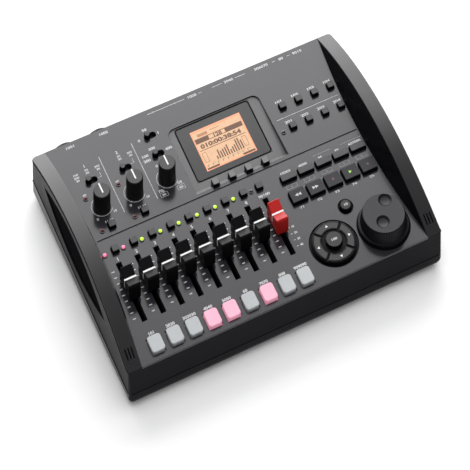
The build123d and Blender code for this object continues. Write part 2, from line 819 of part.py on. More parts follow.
def make_rear_sockets():
    """The square data and power socket in the rear wall."""
    body = rear_block(socket_x, socket_z, rear_y - socket_depth, rear_y, socket_width, socket_height)
    back = rear_y - socket_depth + wall
    mouth = (socket_width - wall, socket_height - wall)
    body -= rear_block(socket_x, socket_z, back, rear_y + overrun, *mouth)
    return body.solid()


def make_power_switch():
    """The sliding power switch in the rear wall."""
    lever = rear_block(
        power_x, socket_z, rear_y - power_lever_depth, rear_y + jack_stand / 2, power_lever_width,
        power_slot_height - 2 * fit_gap,
    )
    back = rear_y - wall - fit_gap
    slider = rear_block(
        power_x, socket_z, back - wall, back, power_slot_width + power_lever_width, power_slot_height + wall
    )
    return (lever + slider).solid()


def make_volume_dial():
    """The headphone volume wheel, its rim through a slot in the rear wall."""
    centre_y = rear_y + volume_proud - volume_radius
    wheel = Pos(volume_x, centre_y, line_jack_z - volume_thickness / 2) * Cylinder(
        volume_radius, volume_thickness, align=LOW
    )
    return wheel.solid()


def make_batteries():
    """The four cells, side by side in their bay."""
    cells = []
    for i in range(battery_count):
        y = bay_centre_y + (i - (battery_count - 1) / 2) * battery_pitch
        cell = Pos(-battery_length / 2, y, bay_floor_z + fit_gap + battery_radius) * Rot(0, 90, 0)
        cells.append((cell * Cylinder(battery_radius, battery_length, align=LOW)).solid())
    return cells


def make_feet():
    """The four rubber feet."""
    feet = []
    for sx in (-1, 1):
        for sy in (-1, 1):
            x = sx * (side_x - foot_inset_x)
            y = (front_y + rear_y) / 2 + sy * (case_depth / 2 - foot_inset_y)
            feet.append((Pos(x, y, 0) * Cylinder(foot_radius, foot_height, align=LOW)).solid())
    return feet


def make_screws():
    """The case screws, up through the lower shell into the upper one."""
    screws = []
    for x, y in screw_places:
        head = Pos(x, y, foot_height + screw_head_depth) * Cylinder(
            screw_head_radius, screw_head_depth - snug_gap, align=TOP
        )
        shank = Pos(x, y, foot_height + screw_head_depth) * Cylinder(
            screw_radius, screw_length - screw_head_depth - fit_gap, align=LOW
        )
        screws.append((head + shank).solid())
    return screws


def make_battery_cover():
    """The lid of the battery bay, flush with the underside."""
    cover = Pos(0, bay_centre_y, foot_height) * Box(
        cover_width, cover_length, cover_thickness - snug_gap, align=LOW
    )
    return cover.solid()


nodes = {
    "bottom_case": make_bottom_case(),
    "upper_case": make_upper_case(),
    "rail_bands": make_rail_bands(),
    "side_inserts": make_side_inserts(),
    "top_panel": make_top_panel(),
    "display_window": make_window(),
    "lcd_module": make_lcd(),
    "main_board": make_main_board(),
    "fader_tracks": make_fader_tracks(),
    "rotary_controls": make_pots(),
    "status_lights": make_lights(),
    "mic_capsules": make_mics(),
    "input_jacks": make_input_jacks(),
    "line_jacks": make_line_jacks(),
    "rear_socket": make_rear_sockets(),
    "power_switch": make_power_switch(),
    "phones_volume_dial": make_volume_dial(),
    "batteries": make_batteries(),
    "battery_cover": make_battery_cover(),
    "rubber_feet": make_feet(),
    "case_screws": make_screws(),
    "jog_dial": make_jog_dial(),
    "cursor_keys": make_cursor_keys(),
    "enter_button": make_round_button(cursor_x, cursor_y, enter_radius, enter_height),
    "exit_button": make_round_button(exit_x, exit_y, exit_radius, exit_height),
}
for i in range(fader_count - 1):
    nodes[f"fader_cap_{i + 1}"] = make_fader_cap(i)
nodes["master_fader_cap"] = make_fader_cap(fader_count - 1)
for i in range(fader_count):
    pad = key_solid(column(i), pad_y, pad_width, pad_length, pad_height, pad_corner, pad_edge)
    nodes[f"drum_pad_{i + 1}"] = DECK * pad
for i, place in enumerate(knob_places):
    nodes[f"input_knob_{i + 1}"] = make_knob(place)
for i, place in enumerate(switch_places):
    nodes[f"slide_switch_{i + 1}"] = make_lever(place)
for name, places in small_keys.items():
    depth = soft_key_guide if name == "soft_keys" else panel_thickness
    nodes[name] = [
        DECK * key_solid(x, y, key_size, key_size, key_height, key_edge, key_edge, depth) for x, y in places
    ]
bar_key = (bar_key_width, bar_key_length, transport_height, key_edge, key_edge)
nodes["upper_transport_keys"] = [
    DECK * key_solid(x, upper_transport_y, *bar_key) for x in transport_places
]
for name, x in zip(("rewind_key", "forward_key", "stop_key", "play_key", "record_key"), transport_places):
    nodes[name] = DECK * key_solid(
        x, lower_transport_y, bar_key_width, transport_key_length, transport_height, key_edge, key_edge
    )

os.makedirs("parts", exist_ok=True)
for name, piece in nodes.items():
    if isinstance(piece, list):
        piece = Compound(piece)
    export_step(piece, f"parts/{name}.step")
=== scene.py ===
# %% [markdown]
# # A multitrack recorder, dressed round its CAD solids
# The solids already have the right sizes, so this scene only adds what a solid cannot show: moulded
# plastics, printed marks, lit lamps and the picture on the display. Everything is placed from the
# same few deck measurements that the solids use, and each piece rides on the body that carries it.

# %% Open the frame
import json
import math

import bmesh
import bpy
from mathutils import Matrix, Vector


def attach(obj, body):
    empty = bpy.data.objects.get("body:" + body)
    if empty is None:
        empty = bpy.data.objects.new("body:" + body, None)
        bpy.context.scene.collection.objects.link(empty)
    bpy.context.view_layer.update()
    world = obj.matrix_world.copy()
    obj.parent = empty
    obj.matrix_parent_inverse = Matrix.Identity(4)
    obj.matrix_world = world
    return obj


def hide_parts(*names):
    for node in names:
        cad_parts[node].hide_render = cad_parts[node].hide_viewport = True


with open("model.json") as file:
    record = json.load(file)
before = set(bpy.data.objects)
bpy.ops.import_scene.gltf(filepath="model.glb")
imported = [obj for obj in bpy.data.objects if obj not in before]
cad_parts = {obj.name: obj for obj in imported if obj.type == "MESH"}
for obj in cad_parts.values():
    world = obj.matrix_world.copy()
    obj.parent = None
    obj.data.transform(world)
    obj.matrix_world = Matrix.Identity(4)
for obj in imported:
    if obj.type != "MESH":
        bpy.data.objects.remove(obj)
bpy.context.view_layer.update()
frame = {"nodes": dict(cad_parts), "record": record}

# %% [markdown]
# The control panel slopes down to the front by a degree and a half. A point on it is easiest to
# give as millimetres across, millimetres to the rear and millimetres above the panel, so one
# matrix turns such a point into metres in the shared frame.

# %% The sloping deck
MM = 0.001
DECK_MID_Z = 32.23
DECK_RISE = 5.0
CASE_DEPTH = 188.0
slope = math.atan2(DECK_RISE, CASE_DEPTH)
DECK = Matrix.Translation((0, 0, DECK_MID_Z * MM)) @ Matrix.Rotation(slope, 4, "X") @ Matrix.Scale(MM, 4)
DECK_UP = DECK.to_3x3().normalized() @ Vector((0, 0, 1))
TO_DECK = DECK.inverted()
print("deck lean", round(math.degrees(slope), 3), "degrees")

# %% [markdown]
# No real surface has one flat tone, and a computer draws nothing else by itself. A noise gives soft
# clouds to vary it with. Its place is read in object space, so the clouds stay on the piece when it
# moves. A colour ramp then turns the clouds into two shades of one colour.

# %% Clouds and tints
TINT_STOPS = (0.3, 0.7)


def clouds(tree, scale, detail):
    """A noise in the piece's own space."""
    place = tree.nodes.new("ShaderNodeTexCoord")
    noise = tree.nodes.new("ShaderNodeTexNoise")
    noise.inputs["Scale"].default_value = scale
    noise.inputs["Detail"].default_value = detail
    tree.links.new(place.outputs["Object"], noise.inputs["Vector"])
    return noise


def tint(tree, noise, color, share, socket):
    """A colour that a noise makes a share darker and a share lighter."""
    ramp = tree.nodes.new("ShaderNodeValToRGB")
    for stop, position, way in zip(ramp.color_ramp.elements, TINT_STOPS, (-1, 1)):
        stop.position = position
        stop.color = (*[c * (1 + way * share) for c in color], 1)
    tree.links.new(noise.outputs["Fac"], ramp.inputs["Fac"])
    tree.links.new(ramp.outputs["Color"], socket)


print("noise helpers ready")

# %% [markdown]
# Handling polishes a moulded plastic in patches, dust lies in its grain, and the mould leaves a fine
# texture. A coarse noise drives the roughness and a little of the colour, and a fine one a shallow
# bump. Bare metal is made the same way, with only its metallic value changed.

# %% Plastics and metal
WEAR_PER_METRE = 28.0
WEAR_LOW, WEAR_HIGH = 0.35, 0.65
GRAIN_DEPTH = 0.0001


def plastic(name, color, rough, grain=0.0, grain_size=0.0004, patch=0.06, shade=0.12, specular=0.5):
    """A moulded plastic with patches of wear and a fine grain."""
    m = bpy.data.materials.new(name)
    m.use_nodes = True
    tree = m.node_tree
    shader = tree.nodes["Principled BSDF"]
    shader.inputs["Specular IOR Level"].default_value = specular
    wear = clouds(tree, WEAR_PER_METRE, 6.0)
    wear.inputs["Roughness"].default_value = 0.62
    polish = tree.nodes.new("ShaderNodeMapRange")
    polish.inputs["From Min"].default_value = WEAR_LOW
    polish.inputs["From Max"].default_value = WEAR_HIGH
    polish.inputs["To Min"].default_value = rough - patch
    polish.inputs["To Max"].default_value = rough + patch
    tree.links.new(wear.outputs["Fac"], polish.inputs["Value"])
    tree.links.new(polish.outputs["Result"], shader.inputs["Roughness"])
    tint(tree, wear, color, shade, shader.inputs["Base Color"])
    if grain:
        fine = clouds(tree, 1 / grain_size, 2.0)
        bump = tree.nodes.new("ShaderNodeBump")
        bump.inputs["Strength"].default_value = grain
        bump.inputs["Distance"].default_value = GRAIN_DEPTH
        tree.links.new(fine.outputs["Fac"], bump.inputs["Height"])
        tree.links.new(bump.outputs["Normal"], shader.inputs["Normal"])
    return m


def metal(name, color, rough):
    """A bare metal with a brushed, slightly tarnished face."""
    m = plastic(name, color, rough, grain=0.15, grain_size=0.0006)
    m.node_tree.nodes["Principled BSDF"].inputs["Metallic"].default_value = 1.0
    return m


print("plastic helpers ready")

# %% [markdown]
# A lamp, a lit pad and the display shine from inside. Real light spreads unevenly through a milky
# piece, so the light is clouded a little by a noise of a few millimetres. Emission on the surface
# is enough here: a lamp inside a clear dome would cost render time and look the same.

# %% Lit pieces
HAZE_PER_METRE = 260.0
HAZE_SHARE = 0.06


def glow(name, color, strength, base, rough):
    """A clear or milky piece lit from behind, with a lightly clouded light and a worn face."""
    m = plastic(name, base, rough, patch=0.03, shade=0.05)
    shader = m.node_tree.nodes["Principled BSDF"]
    haze = clouds(m.node_tree, HAZE_PER_METRE, 3.0)
    tint(m.node_tree, haze, color, HAZE_SHARE, shader.inputs["Emission Color"])
    shader.inputs["Emission Strength"].default_value = strength
    return m


print("glow helper ready")

# %% [markdown]
# On the real recorder every part sits on something, and moves with it. Here each piece rides on the body
# that its CAD node belongs to, and one helper puts every piece there. Another one finds the top faces of a
# key or a knob.

# %% A piece in the scene
LOOKS_UP = 0.9


def body_of(node):
    """The body that a CAD node rides on."""
    groups = frame["record"]["behaviour"]["bodies"]
    return next(name for name, members in groups.items() if node in members)


def add_piece(name, mesh, body):
    """Puts a mesh into the scene as a piece that rides on a body."""
    piece = bpy.data.objects.new(name, mesh)
    bpy.context.scene.collection.objects.link(piece)
    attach(piece, body)
    return piece


def face_up(faces, level, material_index):
    """Gives the faces on top of a key, above a level over the deck, their own finish."""
    for face in faces:
        if face.normal.dot(DECK_UP) > LOOKS_UP and (TO_DECK @ face.calc_center_median()).z > level:
            face.material_index = material_index


print("piece helpers ready")

# %% [markdown]
# The solids come in as triangles with hard corners. Real mouldings have small rounded edges that
# catch the light, and most of what says "plastic" in a photograph is that thin highlight. Each
# solid is welded, its flat faces are joined up again, and a bevel is added on the copy. The copy
# then stands for the solid, whose own mesh stays untouched. Small keys have their rounding in the
# solid already and get no bevel.

# %% A dressed copy of a solid
WELD = 2e-6
FLAT_ANGLE = math.radians(0.4)
SHARP_ANGLE = math.radians(32)
BEVEL_ANGLE = math.radians(40)


def dress(node, name, materials, bevel=0, segments=2, top=None):
    """A welded, bevelled copy of a CAD node that stands for it."""
    mesh = frame["nodes"][node].data.copy()
    mesh.materials.clear()
    for m in materials:
        mesh.materials.append(m)
    bm = bmesh.new()
    bm.from_mesh(mesh)
    bmesh.ops.remove_doubles(bm, verts=bm.verts, dist=WELD)
    bmesh.ops.dissolve_limit(bm, angle_limit=FLAT_ANGLE, verts=bm.verts, edges=bm.edges)
    for face in bm.faces:
        face.smooth = True
        face.material_index = 0
    if top is not None:
        face_up(bm.faces, top, 1)
    bm.to_mesh(mesh)
    bm.free()
    if "custom_normal" in mesh.attributes:
        mesh.attributes.remove(mesh.attributes["custom_normal"])
    mesh.set_sharp_from_angle(angle=SHARP_ANGLE)
    piece = add_piece(name, mesh, body_of(node))
    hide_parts(node)
    if bevel:
        soft = piece.modifiers.new("soft edges", "BEVEL")
        soft.width = bevel * MM
        soft.segments = segments
        soft.limit_method = "ANGLE"
        soft.angle_limit = BEVEL_ANGLE
        soft.use_clamp_overlap = True
    piece.modifiers.new("even normals", "WEIGHTED_NORMAL").keep_sharp = True
    return piece


print("dress helper ready")

# %% [markdown]
# The shell is two black mouldings that meet in a seam, with a painted panel between two arched rails. The
# flanks of the lower half get a glossier copy of the shell plastic than its front, a painted sheen that
# makes them read lighter, and the outer face of each lens shaped insert gets a darker copy of the insert
# plastic with almost no reflection, painted shade that stands in for the dark room it would mirror. Both are
# told apart by which way a face looks or where it lies, on one mesh.

# %% The shell
FLANK_NORMAL_X = 0.9
LENS_X = 0.1277
LENS_EDGE = 0.0015
case_black = plastic("case_black_plastic", (0.0058, 0.005, 0.0072), 0.42, grain=0.2, specular=0.1)
# The flank finish is a painted sheen: the shell's black plastic with more reflection, so the flanks read
# lighter than the front.
flank_painted_sheen = plastic("lower_flank_painted_sheen", (0.0056, 0.005, 0.0066), 0.3, grain=0.1, specular=0.45)
gloss_black = plastic("insert_gloss_black", (0.0055, 0.005, 0.006), 0.2, patch=0.02, specular=0.1)
# The lens finish is painted shade: a darker black that reflects almost nothing.
lens_painted_shade = plastic("lens_painted_shade_black", (0.003, 0.0026, 0.0034), 0.14, patch=0.02, specular=0.0003)
rail_grey = plastic("rail_grey_paint", (0.0154, 0.015, 0.0165), 0.4, grain=0.03, patch=0.015, shade=0.04)
deck_grey = plastic("deck_grey_paint", (0.0212, 0.02, 0.0245), 0.2, grain=0.02, patch=0.012, shade=0.03)

lower = dress("bottom_case", "lower_shell", [case_black, flank_painted_sheen])
# Faces that look sideways take the painted sheen.
for face in lower.data.polygons:
    if abs(face.normal.x) > FLANK_NORMAL_X:
        face.material_index = 1
dress("upper_case", "upper_shell", [case_black])
dress("rail_bands", "rail_top_bands", [rail_grey], bevel=0.5, segments=3)
inserts = dress("side_inserts", "rail_gloss_inserts", [gloss_black, lens_painted_shade])
# Faces on the lens take the painted shade.
for face in inserts.data.polygons:
    if abs(face.center.x) > LENS_X - LENS_EDGE:
        face.material_index = 1
panel = dress("top_panel", "control_panel", [deck_grey])
print("shell faces", len(lower.data.polygons), "panel faces", len(panel.data.polygons))

# %% [markdown]
# The underside carries what the recorder stands on and what opens it: soft feet, plated screws and
# the lid of the battery bay. They are plain forms, so a rubber, a metal and a bevel are enough.

# %% The underside
rubber = plastic("foot_rubber_black", (0.012, 0.012, 0.012), 0.75, grain=0.4, specular=0.2)
steel = metal("plated_steel", (0.3, 0.3, 0.31), 0.34)
dress("battery_cover", "battery_lid", [case_black], bevel=0.3)
dress("rubber_feet", "soft_feet", [rubber], bevel=0.4)
dress("case_screws", "case_screw_set", [steel])
print("underside dressed")

# %% [markdown]
# The sockets are black rings in black holes, so only their edges tell them apart, and each edge
# gets a bevel. The metal data socket is the one bright thing at the rear.

# %% Sockets at the rear
socket_black = plastic("socket_black", (0.008, 0.008, 0.009), 0.4, specular=0.15)
key_side_and_painted_shade = plastic("key_black_side_and_painted_shade", (0.004, 0.004, 0.0046), 0.42, specular=0.07)
dress("input_jacks", "combined_input_jacks", [socket_black], bevel=0.3)
dress("line_jacks", "line_jack_set", [socket_black], bevel=0.2)
dress("rear_socket", "data_socket", [steel], bevel=0.2)
dress("power_switch", "power_slider", [key_side_and_painted_shade], bevel=0.3)
dress("phones_volume_dial", "phones_volume_wheel", [key_side_and_painted_shade], bevel=0.4)
print("sockets dressed")

# %% [markdown]
# The pieces inside hardly show: a glimpse through a fader slot or the window. Their solids have the
# right shape as they are, so they stay, and only their material slots are filled.

# %% Inner pieces
slot_dust_and_painted_shade = plastic("slot_dust_cover_and_painted_shade", (0.003, 0.003, 0.003), 0.7, specular=0.05)
window_tint = plastic("window_grey_tint", (0.055, 0.055, 0.057), 0.1, patch=0.01, shade=0.02)
inner_finishes = {
    "display_window": window_tint, "lcd_module": socket_black, "main_board": socket_black,
    "fader_tracks": slot_dust_and_painted_shade, "rotary_controls": steel, "mic_capsules": steel, "batteries": case_black,
}
for node, finish in inner_finishes.items():
    inner = frame["nodes"][node]
    inner.data.materials.clear()
    inner.data.materials.append(finish)
print("inner pieces", len(inner_finishes))

# %% [markdown]
# Flat print is built as thin flat meshes a few hundredths of a millimetre above what they lie on.
# An image texture would need a picture file, and a real silk-screened mark is just this: a film of
# ink with a crisp edge. The first helpers draw straight and curved strokes as outlines on the deck.

# %% Strokes
def bar(x0, y0, x1, y1, width):
    """A straight stroke from one deck point to another, as one quad."""
    along = Vector((x1 - x0, y1 - y0))
    side = Vector((-along.y, along.x)).normalized() * width / 2
    return [[
        (x0 - side.x, y0 - side.y), (x1 - side.x, y1 - side.y),
        (x1 + side.x, y1 + side.y), (x0 + side.x, y0 + side.y),
    ]]


def around(x, y, radius, angle):
    """The point at a distance and an angle from a deck point."""
    return x + radius * math.cos(angle), y + radius * math.sin(angle)


def arc(x, y, radius, width, start=0.0, end=360.0, steps=48):
    """A curved stroke round a deck point, from one angle to another, as short quads."""
    quads = []
    inner, outer = radius - width / 2, radius + width / 2
    for i in range(steps):
        a = math.radians(start + (end - start) * i / steps)
        b = math.radians(start + (end - start) * (i + 1) / steps)
        corners = ((inner, a), (outer, a), (outer, b), (inner, b))
        quads.append([around(x, y, reach, angle) for reach, angle in corners])
    return quads


print("stroke helpers ready")

# %% [markdown]
# The other marks are put together from strokes, or are one outline of their own. The corners of an
# outline always run the same way round, so that each face looks up from the deck.

# %% Simple marks
def disc(x, y, radius, steps=32):
    """A filled round mark."""
    return [[around(x, y, radius, 2 * math.pi * i / steps) for i in range(steps)]]


def box_outline(x, y, width, length, line):
    """A rectangle drawn with four strokes."""
    w, h = width / 2, length / 2
    return (
        bar(x - w, y - h, x + w, y - h, line) + bar(x - w, y + h, x + w, y + h, line)
        + bar(x - w, y - h, x - w, y + h, line) + bar(x + w, y - h, x + w, y + h, line)
    )


def soft_outline(x, y, width, length, radius, line):
    """A rectangle with round corners, drawn with four strokes and four quarter rings."""
    w, h = width / 2, length / 2
    strokes = []
    for way in (-1, 1):
        strokes += bar(x - w + radius, y + way * h, x + w - radius, y + way * h, line)
        strokes += bar(x + way * w, y - h + radius, x + way * w, y + h - radius, line)
    for i, (right, rear) in enumerate(((1, 1), (-1, 1), (-1, -1), (1, -1))):
        middle = (x + right * (w - radius), y + rear * (h - radius))
        strokes += arc(*middle, radius, line, 90 * i, 90 * i + 90, 8)
    return strokes


def arrow(x, y, size, way):
    """A triangle that points right for way 1 and left for way -1."""
    half = size / 2
    tri = [(x - way * half, y - half), (x + way * half, y), (x - way * half, y + half)]
    return [tri if way > 0 else tri[::-1]]


print("mark helpers ready")

# %% [markdown]
# Numbers are set with Blender's own font, turned into faces and kept only as outlines, so no text
# object stays behind. One mesh then holds each group of marks. It lies on the deck unless it is
# given a height or a matrix of its own, and it rides on whatever it is printed on.

# %% Numbers and ink
INK = 0.04
DIGIT_SHARE = 0.72


def number(text, x, y, height, stretch=1.0, bold=0.045):
    """A printed number, centred on a deck point, as the outlines of its glyph faces."""
    curve = bpy.data.curves.new("glyphs", "FONT")
    curve.body = text
    curve.size = height / DIGIT_SHARE
    curve.offset = bold * height
    curve.resolution_u = 3
    curve.align_x = "CENTER"
    stencil = bpy.data.objects.new("glyphs", curve)
    bpy.context.scene.collection.objects.link(stencil)
    mesh = stencil.to_mesh()
    points = [(x + v.co.x * stretch, y + v.co.y - height / 2) for v in mesh.vertices]
    shapes = [[points[v] for v in face.vertices] for face in mesh.polygons]
    bpy.data.objects.remove(stencil)
    bpy.data.curves.remove(curve)
    return shapes


def ink(name, shapes, material, height=INK, body="root", matrix=None):
    """One mesh of flat marks, given as outlines on the deck."""
    verts, faces = [], []
    for outline in shapes:
        faces.append(list(range(len(verts), len(verts) + len(outline))))
        verts += [(x, y, height) for x, y in outline]
    mesh = bpy.data.meshes.new(name)
    mesh.from_pydata(verts, [], faces)
    mesh.transform(DECK @ matrix if matrix else DECK)
    mesh.materials.append(material)
    return add_piece(name, mesh, body)


print("ink helpers ready")

# %% [markdown]
# The channel strips repeat nine times at one pitch. Each has a pad, a fader with its scale, a lamp
# and a key, so all their places come from one column position. The ninth is the master fader.

# %% Channel layout
COLUMN_X = -101.6
COLUMN_PITCH = 15.16
CHANNELS = 9
MASTER = CHANNELS - 1
columns = [COLUMN_X + i * COLUMN_PITCH for i in range(CHANNELS)]
print("columns from", columns[0], "to", round(columns[-1], 2))

# %% [markdown]
# A fader cap is a saddle: its front and rear ridges are high and a white line runs across the
# valley between them, then down both sides, so the position can be read from any seat. The line is
# three thin blocks that stand out of the cap by the thickness of the paint.

# %% The white line on a cap
CAP_Y = -35.5
CAP_WIDTH = 9.4
CAP_VALLEY = 10.0
LINE_WIDTH = 1.35
LINE_DROP = 5.5
LINE_PROUD = 0.12
cap_white = plastic("cap_white_line", (0.8, 0.8, 0.79), 0.4, shade=0.02)


def slab(x, y, z, width, length, height):
    """Corners and faces of a box on the deck, centred on x and y, standing on z."""
    w, h = width / 2, length / 2
    sides = ((-w, -h), (w, -h), (w, h), (-w, h))
    corners = [(x + i, y + j, z + k) for k in (0, height) for i, j in sides]
    faces = [(3, 2, 1, 0), (4, 5, 6, 7), (0, 1, 5, 4), (1, 2, 6, 5), (2, 3, 7, 6), (3, 0, 4, 7)]
    return corners, faces


def cap_line(x, body, name):
    """The white line across the valley of a cap and down its sides."""
    blocks = [slab(x, CAP_Y, CAP_VALLEY - 0.5, CAP_WIDTH + LINE_PROUD, LINE_WIDTH, 0.9)]
    for side in (-CAP_WIDTH / 2, CAP_WIDTH / 2):
        blocks.append(slab(x + side, CAP_Y, CAP_VALLEY - LINE_DROP, LINE_PROUD, LINE_WIDTH, LINE_DROP))
    verts, faces = [], []
    for corners, block_faces in blocks:
        faces += [tuple(v + len(verts) for v in face) for face in block_faces]
        verts += corners
    mesh = bpy.data.meshes.new(name)
    mesh.from_pydata(verts, [], faces)
    mesh.transform(DECK)
    mesh.materials.append(cap_white)
    add_piece(name, mesh, body)


print("line helper ready")

# %% [markdown]
# Eight caps are black and the master's is red. Each rides on its own body, and so does its white
# line, because a fader moves alone.

# %% Fader caps
cap_black = plastic("fader_cap_black", (0.006, 0.006, 0.0068), 0.32, grain=0.08, specular=0.06)
cap_red = plastic("fader_cap_red", (0.46, 0.016, 0.015), 0.36, grain=0.06, shade=0.05, specular=0.2)
for i, x in enumerate(columns):
    node = "master_fader_cap" if i == MASTER else f"fader_cap_{i + 1}"
    finish, slot = (cap_red, "cap_red") if i == MASTER else (cap_black, "cap_black")
    dress(node, node + "_moulding", [finish], bevel=0.45, segments=3)
    cap_line(x, node + "_body", node + "_white_line")
print("fader caps", CHANNELS)

# %% [markdown]
# The pads are milky rubber with a light under each. Three of them are lit in the photograph, so
# they glow pink through the same rubber. Their solids are already crowned and need no bevel.

# %% Pads
LIT_PADS = (3, 4, 6)
pad_milky = plastic("pad_milky_rubber", (0.425, 0.442, 0.455), 0.5, grain=0.1, shade=0.04)
pad_pink = glow("pad_lit_pink", (1.0, 0.36, 0.5), 0.42, base=(0.5, 0.3, 0.38), rough=0.5)
for i in range(CHANNELS):
    finish, slot = (pad_pink, "pad_lit") if i in LIT_PADS else (pad_milky, "pad_clear")
    dress(f"drum_pad_{i + 1}", f"soft_pad_{i + 1}", [finish])
print("pads", CHANNELS, "lit", len(LIT_PADS))

# %% [markdown]
# The keys are black mouldings with a grey face, so from the front each shows its grey top and a black edge.
# The finish changes on the same mesh, by which way a face looks and how high it is: a level in millimetres
# over the deck tells the top from a step below it. The soft keys below the display take the ramp's painted
# light on their tops, to match the paler ramp that they stand on, and the five tall keys are darker than the
# rest.

# %% Small keys and bar keys
key_face = plastic(
    "key_grey_face", (0.0212, 0.0205, 0.0235), 0.34, grain=0.08, patch=0.03, shade=0.06, specular=0.46)
tall_key_face = plastic(
    "tall_key_face", (0.0192, 0.018, 0.0208), 0.38, grain=0.08, patch=0.03, shade=0.06, specular=0.22)
# The ramp finish is painted light: a grey far paler than the panel, for faces that slope towards the sky.
ramp_painted_light = plastic("pocket_ramp_painted_light", (0.115, 0.115, 0.118), 0.35, grain=0.02, patch=0.015, shade=0.03)
SMALL_KEY_LEVEL, BAR_KEY_LEVEL = 2.3, 2.4
small_keys = {
    "track_keys": key_face, "function_keys": key_face, "soft_keys": ramp_painted_light, "input_keys": key_face,
}
for node, finish in small_keys.items():
    dress(node, node + "_mouldings", [key_side_and_painted_shade, finish], top=SMALL_KEY_LEVEL)
bar_keys = {
    "upper_transport_keys": key_face, "rewind_key": tall_key_face, "forward_key": tall_key_face,
    "stop_key": tall_key_face, "play_key": tall_key_face, "record_key": tall_key_face,
}
for node, finish in bar_keys.items():
    dress(node, node + "_moulding", [key_side_and_painted_shade, finish], top=BAR_KEY_LEVEL)
print("key nodes", len(small_keys) + len(bar_keys))

# %% [markdown]
# Round the dial there are a ring of four arrow keys, its middle button and a small exit button, and
# at the left four slide switches. They take the same black side, and each its own grey on top.

# %% Round keys and switches
ring_face = plastic(
    "cursor_key_face", (0.02, 0.02, 0.0212), 0.3, grain=0.05, patch=0.02, shade=0.04, specular=0.36)
dial_dark = plastic("dial_dark_plastic", (0.0245, 0.0238, 0.0262), 0.5, grain=0.3, patch=0.03, specular=0.36)
RING_LEVEL, ENTER_LEVEL, EXIT_LEVEL, LEVER_LEVEL = 1.9, 3.9, 1.9, 3.2
dress(
    "cursor_keys", "cursor_key_ring", [key_side_and_painted_shade, ring_face],
    bevel=0.4, segments=3, top=RING_LEVEL)
dress("enter_button", "enter_button_moulding", [key_side_and_painted_shade, dial_dark], top=ENTER_LEVEL)
dress("exit_button", "exit_button_moulding", [key_side_and_painted_shade, dial_dark], top=EXIT_LEVEL)
for i in range(4):
    lever = f"slide_switch_{i + 1}"
    dress(lever, f"switch_lever_{i + 1}", [key_side_and_painted_shade, key_face], top=LEVER_LEVEL)
print("round keys and switches dressed")

# %% [markdown]
# Three knobs set the inputs and the balance. Each has a grey face with a white pointer that turns
# with it. The dial is wider than it is high, with a grey top and a flank so dark that it reads as
# black.

# %% Knobs and dial
KNOB_X = -94.8
KNOB_PITCH = 27.1
KNOB_Y = 33.8
KNOB_TOP = 15.0
KNOB_LEVEL, DIAL_LEVEL = 14.8, 8.0
KNOBS = 3
POINTER_FRONT, POINTER_REAR, POINTER_WIDTH = -2.2, 6.2, 1.1
knob_black = plastic("knob_black_plastic", (0.012, 0.012, 0.013), 0.38, grain=0.15, specular=0.3)
knob_face = plastic(
    "knob_grey_face", (0.042, 0.042, 0.043), 0.4, grain=0.1, patch=0.03, shade=0.04, specular=0.35)
dial_side = plastic("dial_black_side", (0.0075, 0.0066, 0.0085), 0.45, specular=0.15)
for i in range(KNOBS):
    x = KNOB_X + i * KNOB_PITCH
    knob = f"input_knob_{i + 1}"
    dress(knob, f"knob_{i + 1}_moulding", [knob_black, knob_face], top=KNOB_LEVEL)
    pointer = bar(x, KNOB_Y + POINTER_FRONT, x, KNOB_Y + POINTER_REAR, POINTER_WIDTH)
    ink(f"knob_{i + 1}_pointer", pointer, cap_white, KNOB_TOP + INK, knob + "_body")
dress("jog_dial", "jog_dial_moulding", [dial_side, dial_dark], top=DIAL_LEVEL)
print("knobs", KNOBS, "and the dial dressed")

# %% [markdown]
# The lamps are the domed ends of clear pipes that lead the light up through the panel. A real lamp is
# brightest in its middle and deeper in colour round its foot, so the flat crown and the steep rim of each
# dome have two finishes. An unlit lamp is a smoked dome, or a dark red one with a faint painted glow.

# %% Lamp finishes
lamp_green = glow("lamp_lit_green", (0.55, 0.95, 0.02), 0.95, base=(0.3, 0.6, 0.05), rough=0.15)
lamp_green_rim = glow("lamp_green_rim", (0.36, 0.7, 0.0), 0.75, base=(0.2, 0.4, 0.02), rough=0.2)
lamp_pink = glow("lamp_lit_pink", (1.0, 0.24, 0.42), 0.95, base=(0.6, 0.1, 0.2), rough=0.15)
lamp_pink_rim = glow("lamp_pink_rim", (0.9, 0.06, 0.2), 0.8, base=(0.4, 0.03, 0.08), rough=0.2)
# Both unlit red finishes carry a faint painted glow.
red_lamp_painted_glow = glow("unlit_red_painted_glow", (0.4, 0.02, 0.03), 0.035, base=(0.09, 0.006, 0.008), rough=0.2)
red_rim_painted_glow = glow("red_rim_painted_glow", (0.2, 0.0, 0.0), 0.01, base=(0.012, 0.001, 0.001), rough=0.4)
lamp_off = plastic("lamp_off_smoked", (0.02, 0.02, 0.02), 0.2, specular=0.6)
armed, playing, unlit = (lamp_pink, lamp_pink_rim), (lamp_green, lamp_green_rim), (lamp_off, lamp_off)
waiting = (red_lamp_painted_glow, red_rim_painted_glow)
print("lamp finishes ready")

# %% [markdown]
# One dome is made from a sphere: it is flattened, sunk to its middle in the deck, and its faces are sorted
# into crown and rim by how steep they are. Two tracks are armed and glow pink, six play and glow green, and
# the lamps of the inputs wait for a signal, unlit and dark red with a faint painted glow.

# %% Lamps
LAMP_RADIUS = 1.65
LAMP_RISE = 0.75
LAMP_CROWN = 0.72
TRACK_LAMP_OFFSET, TRACK_LAMP_Y = -6.9, -3.6
INPUT_LAMPS = ((-103.7, 44.4), (-76.5, 44.8), (-102.5, 15.2), (-75.6, 15.4))
FUNCTION_LAMP = (57.0, 30.3)


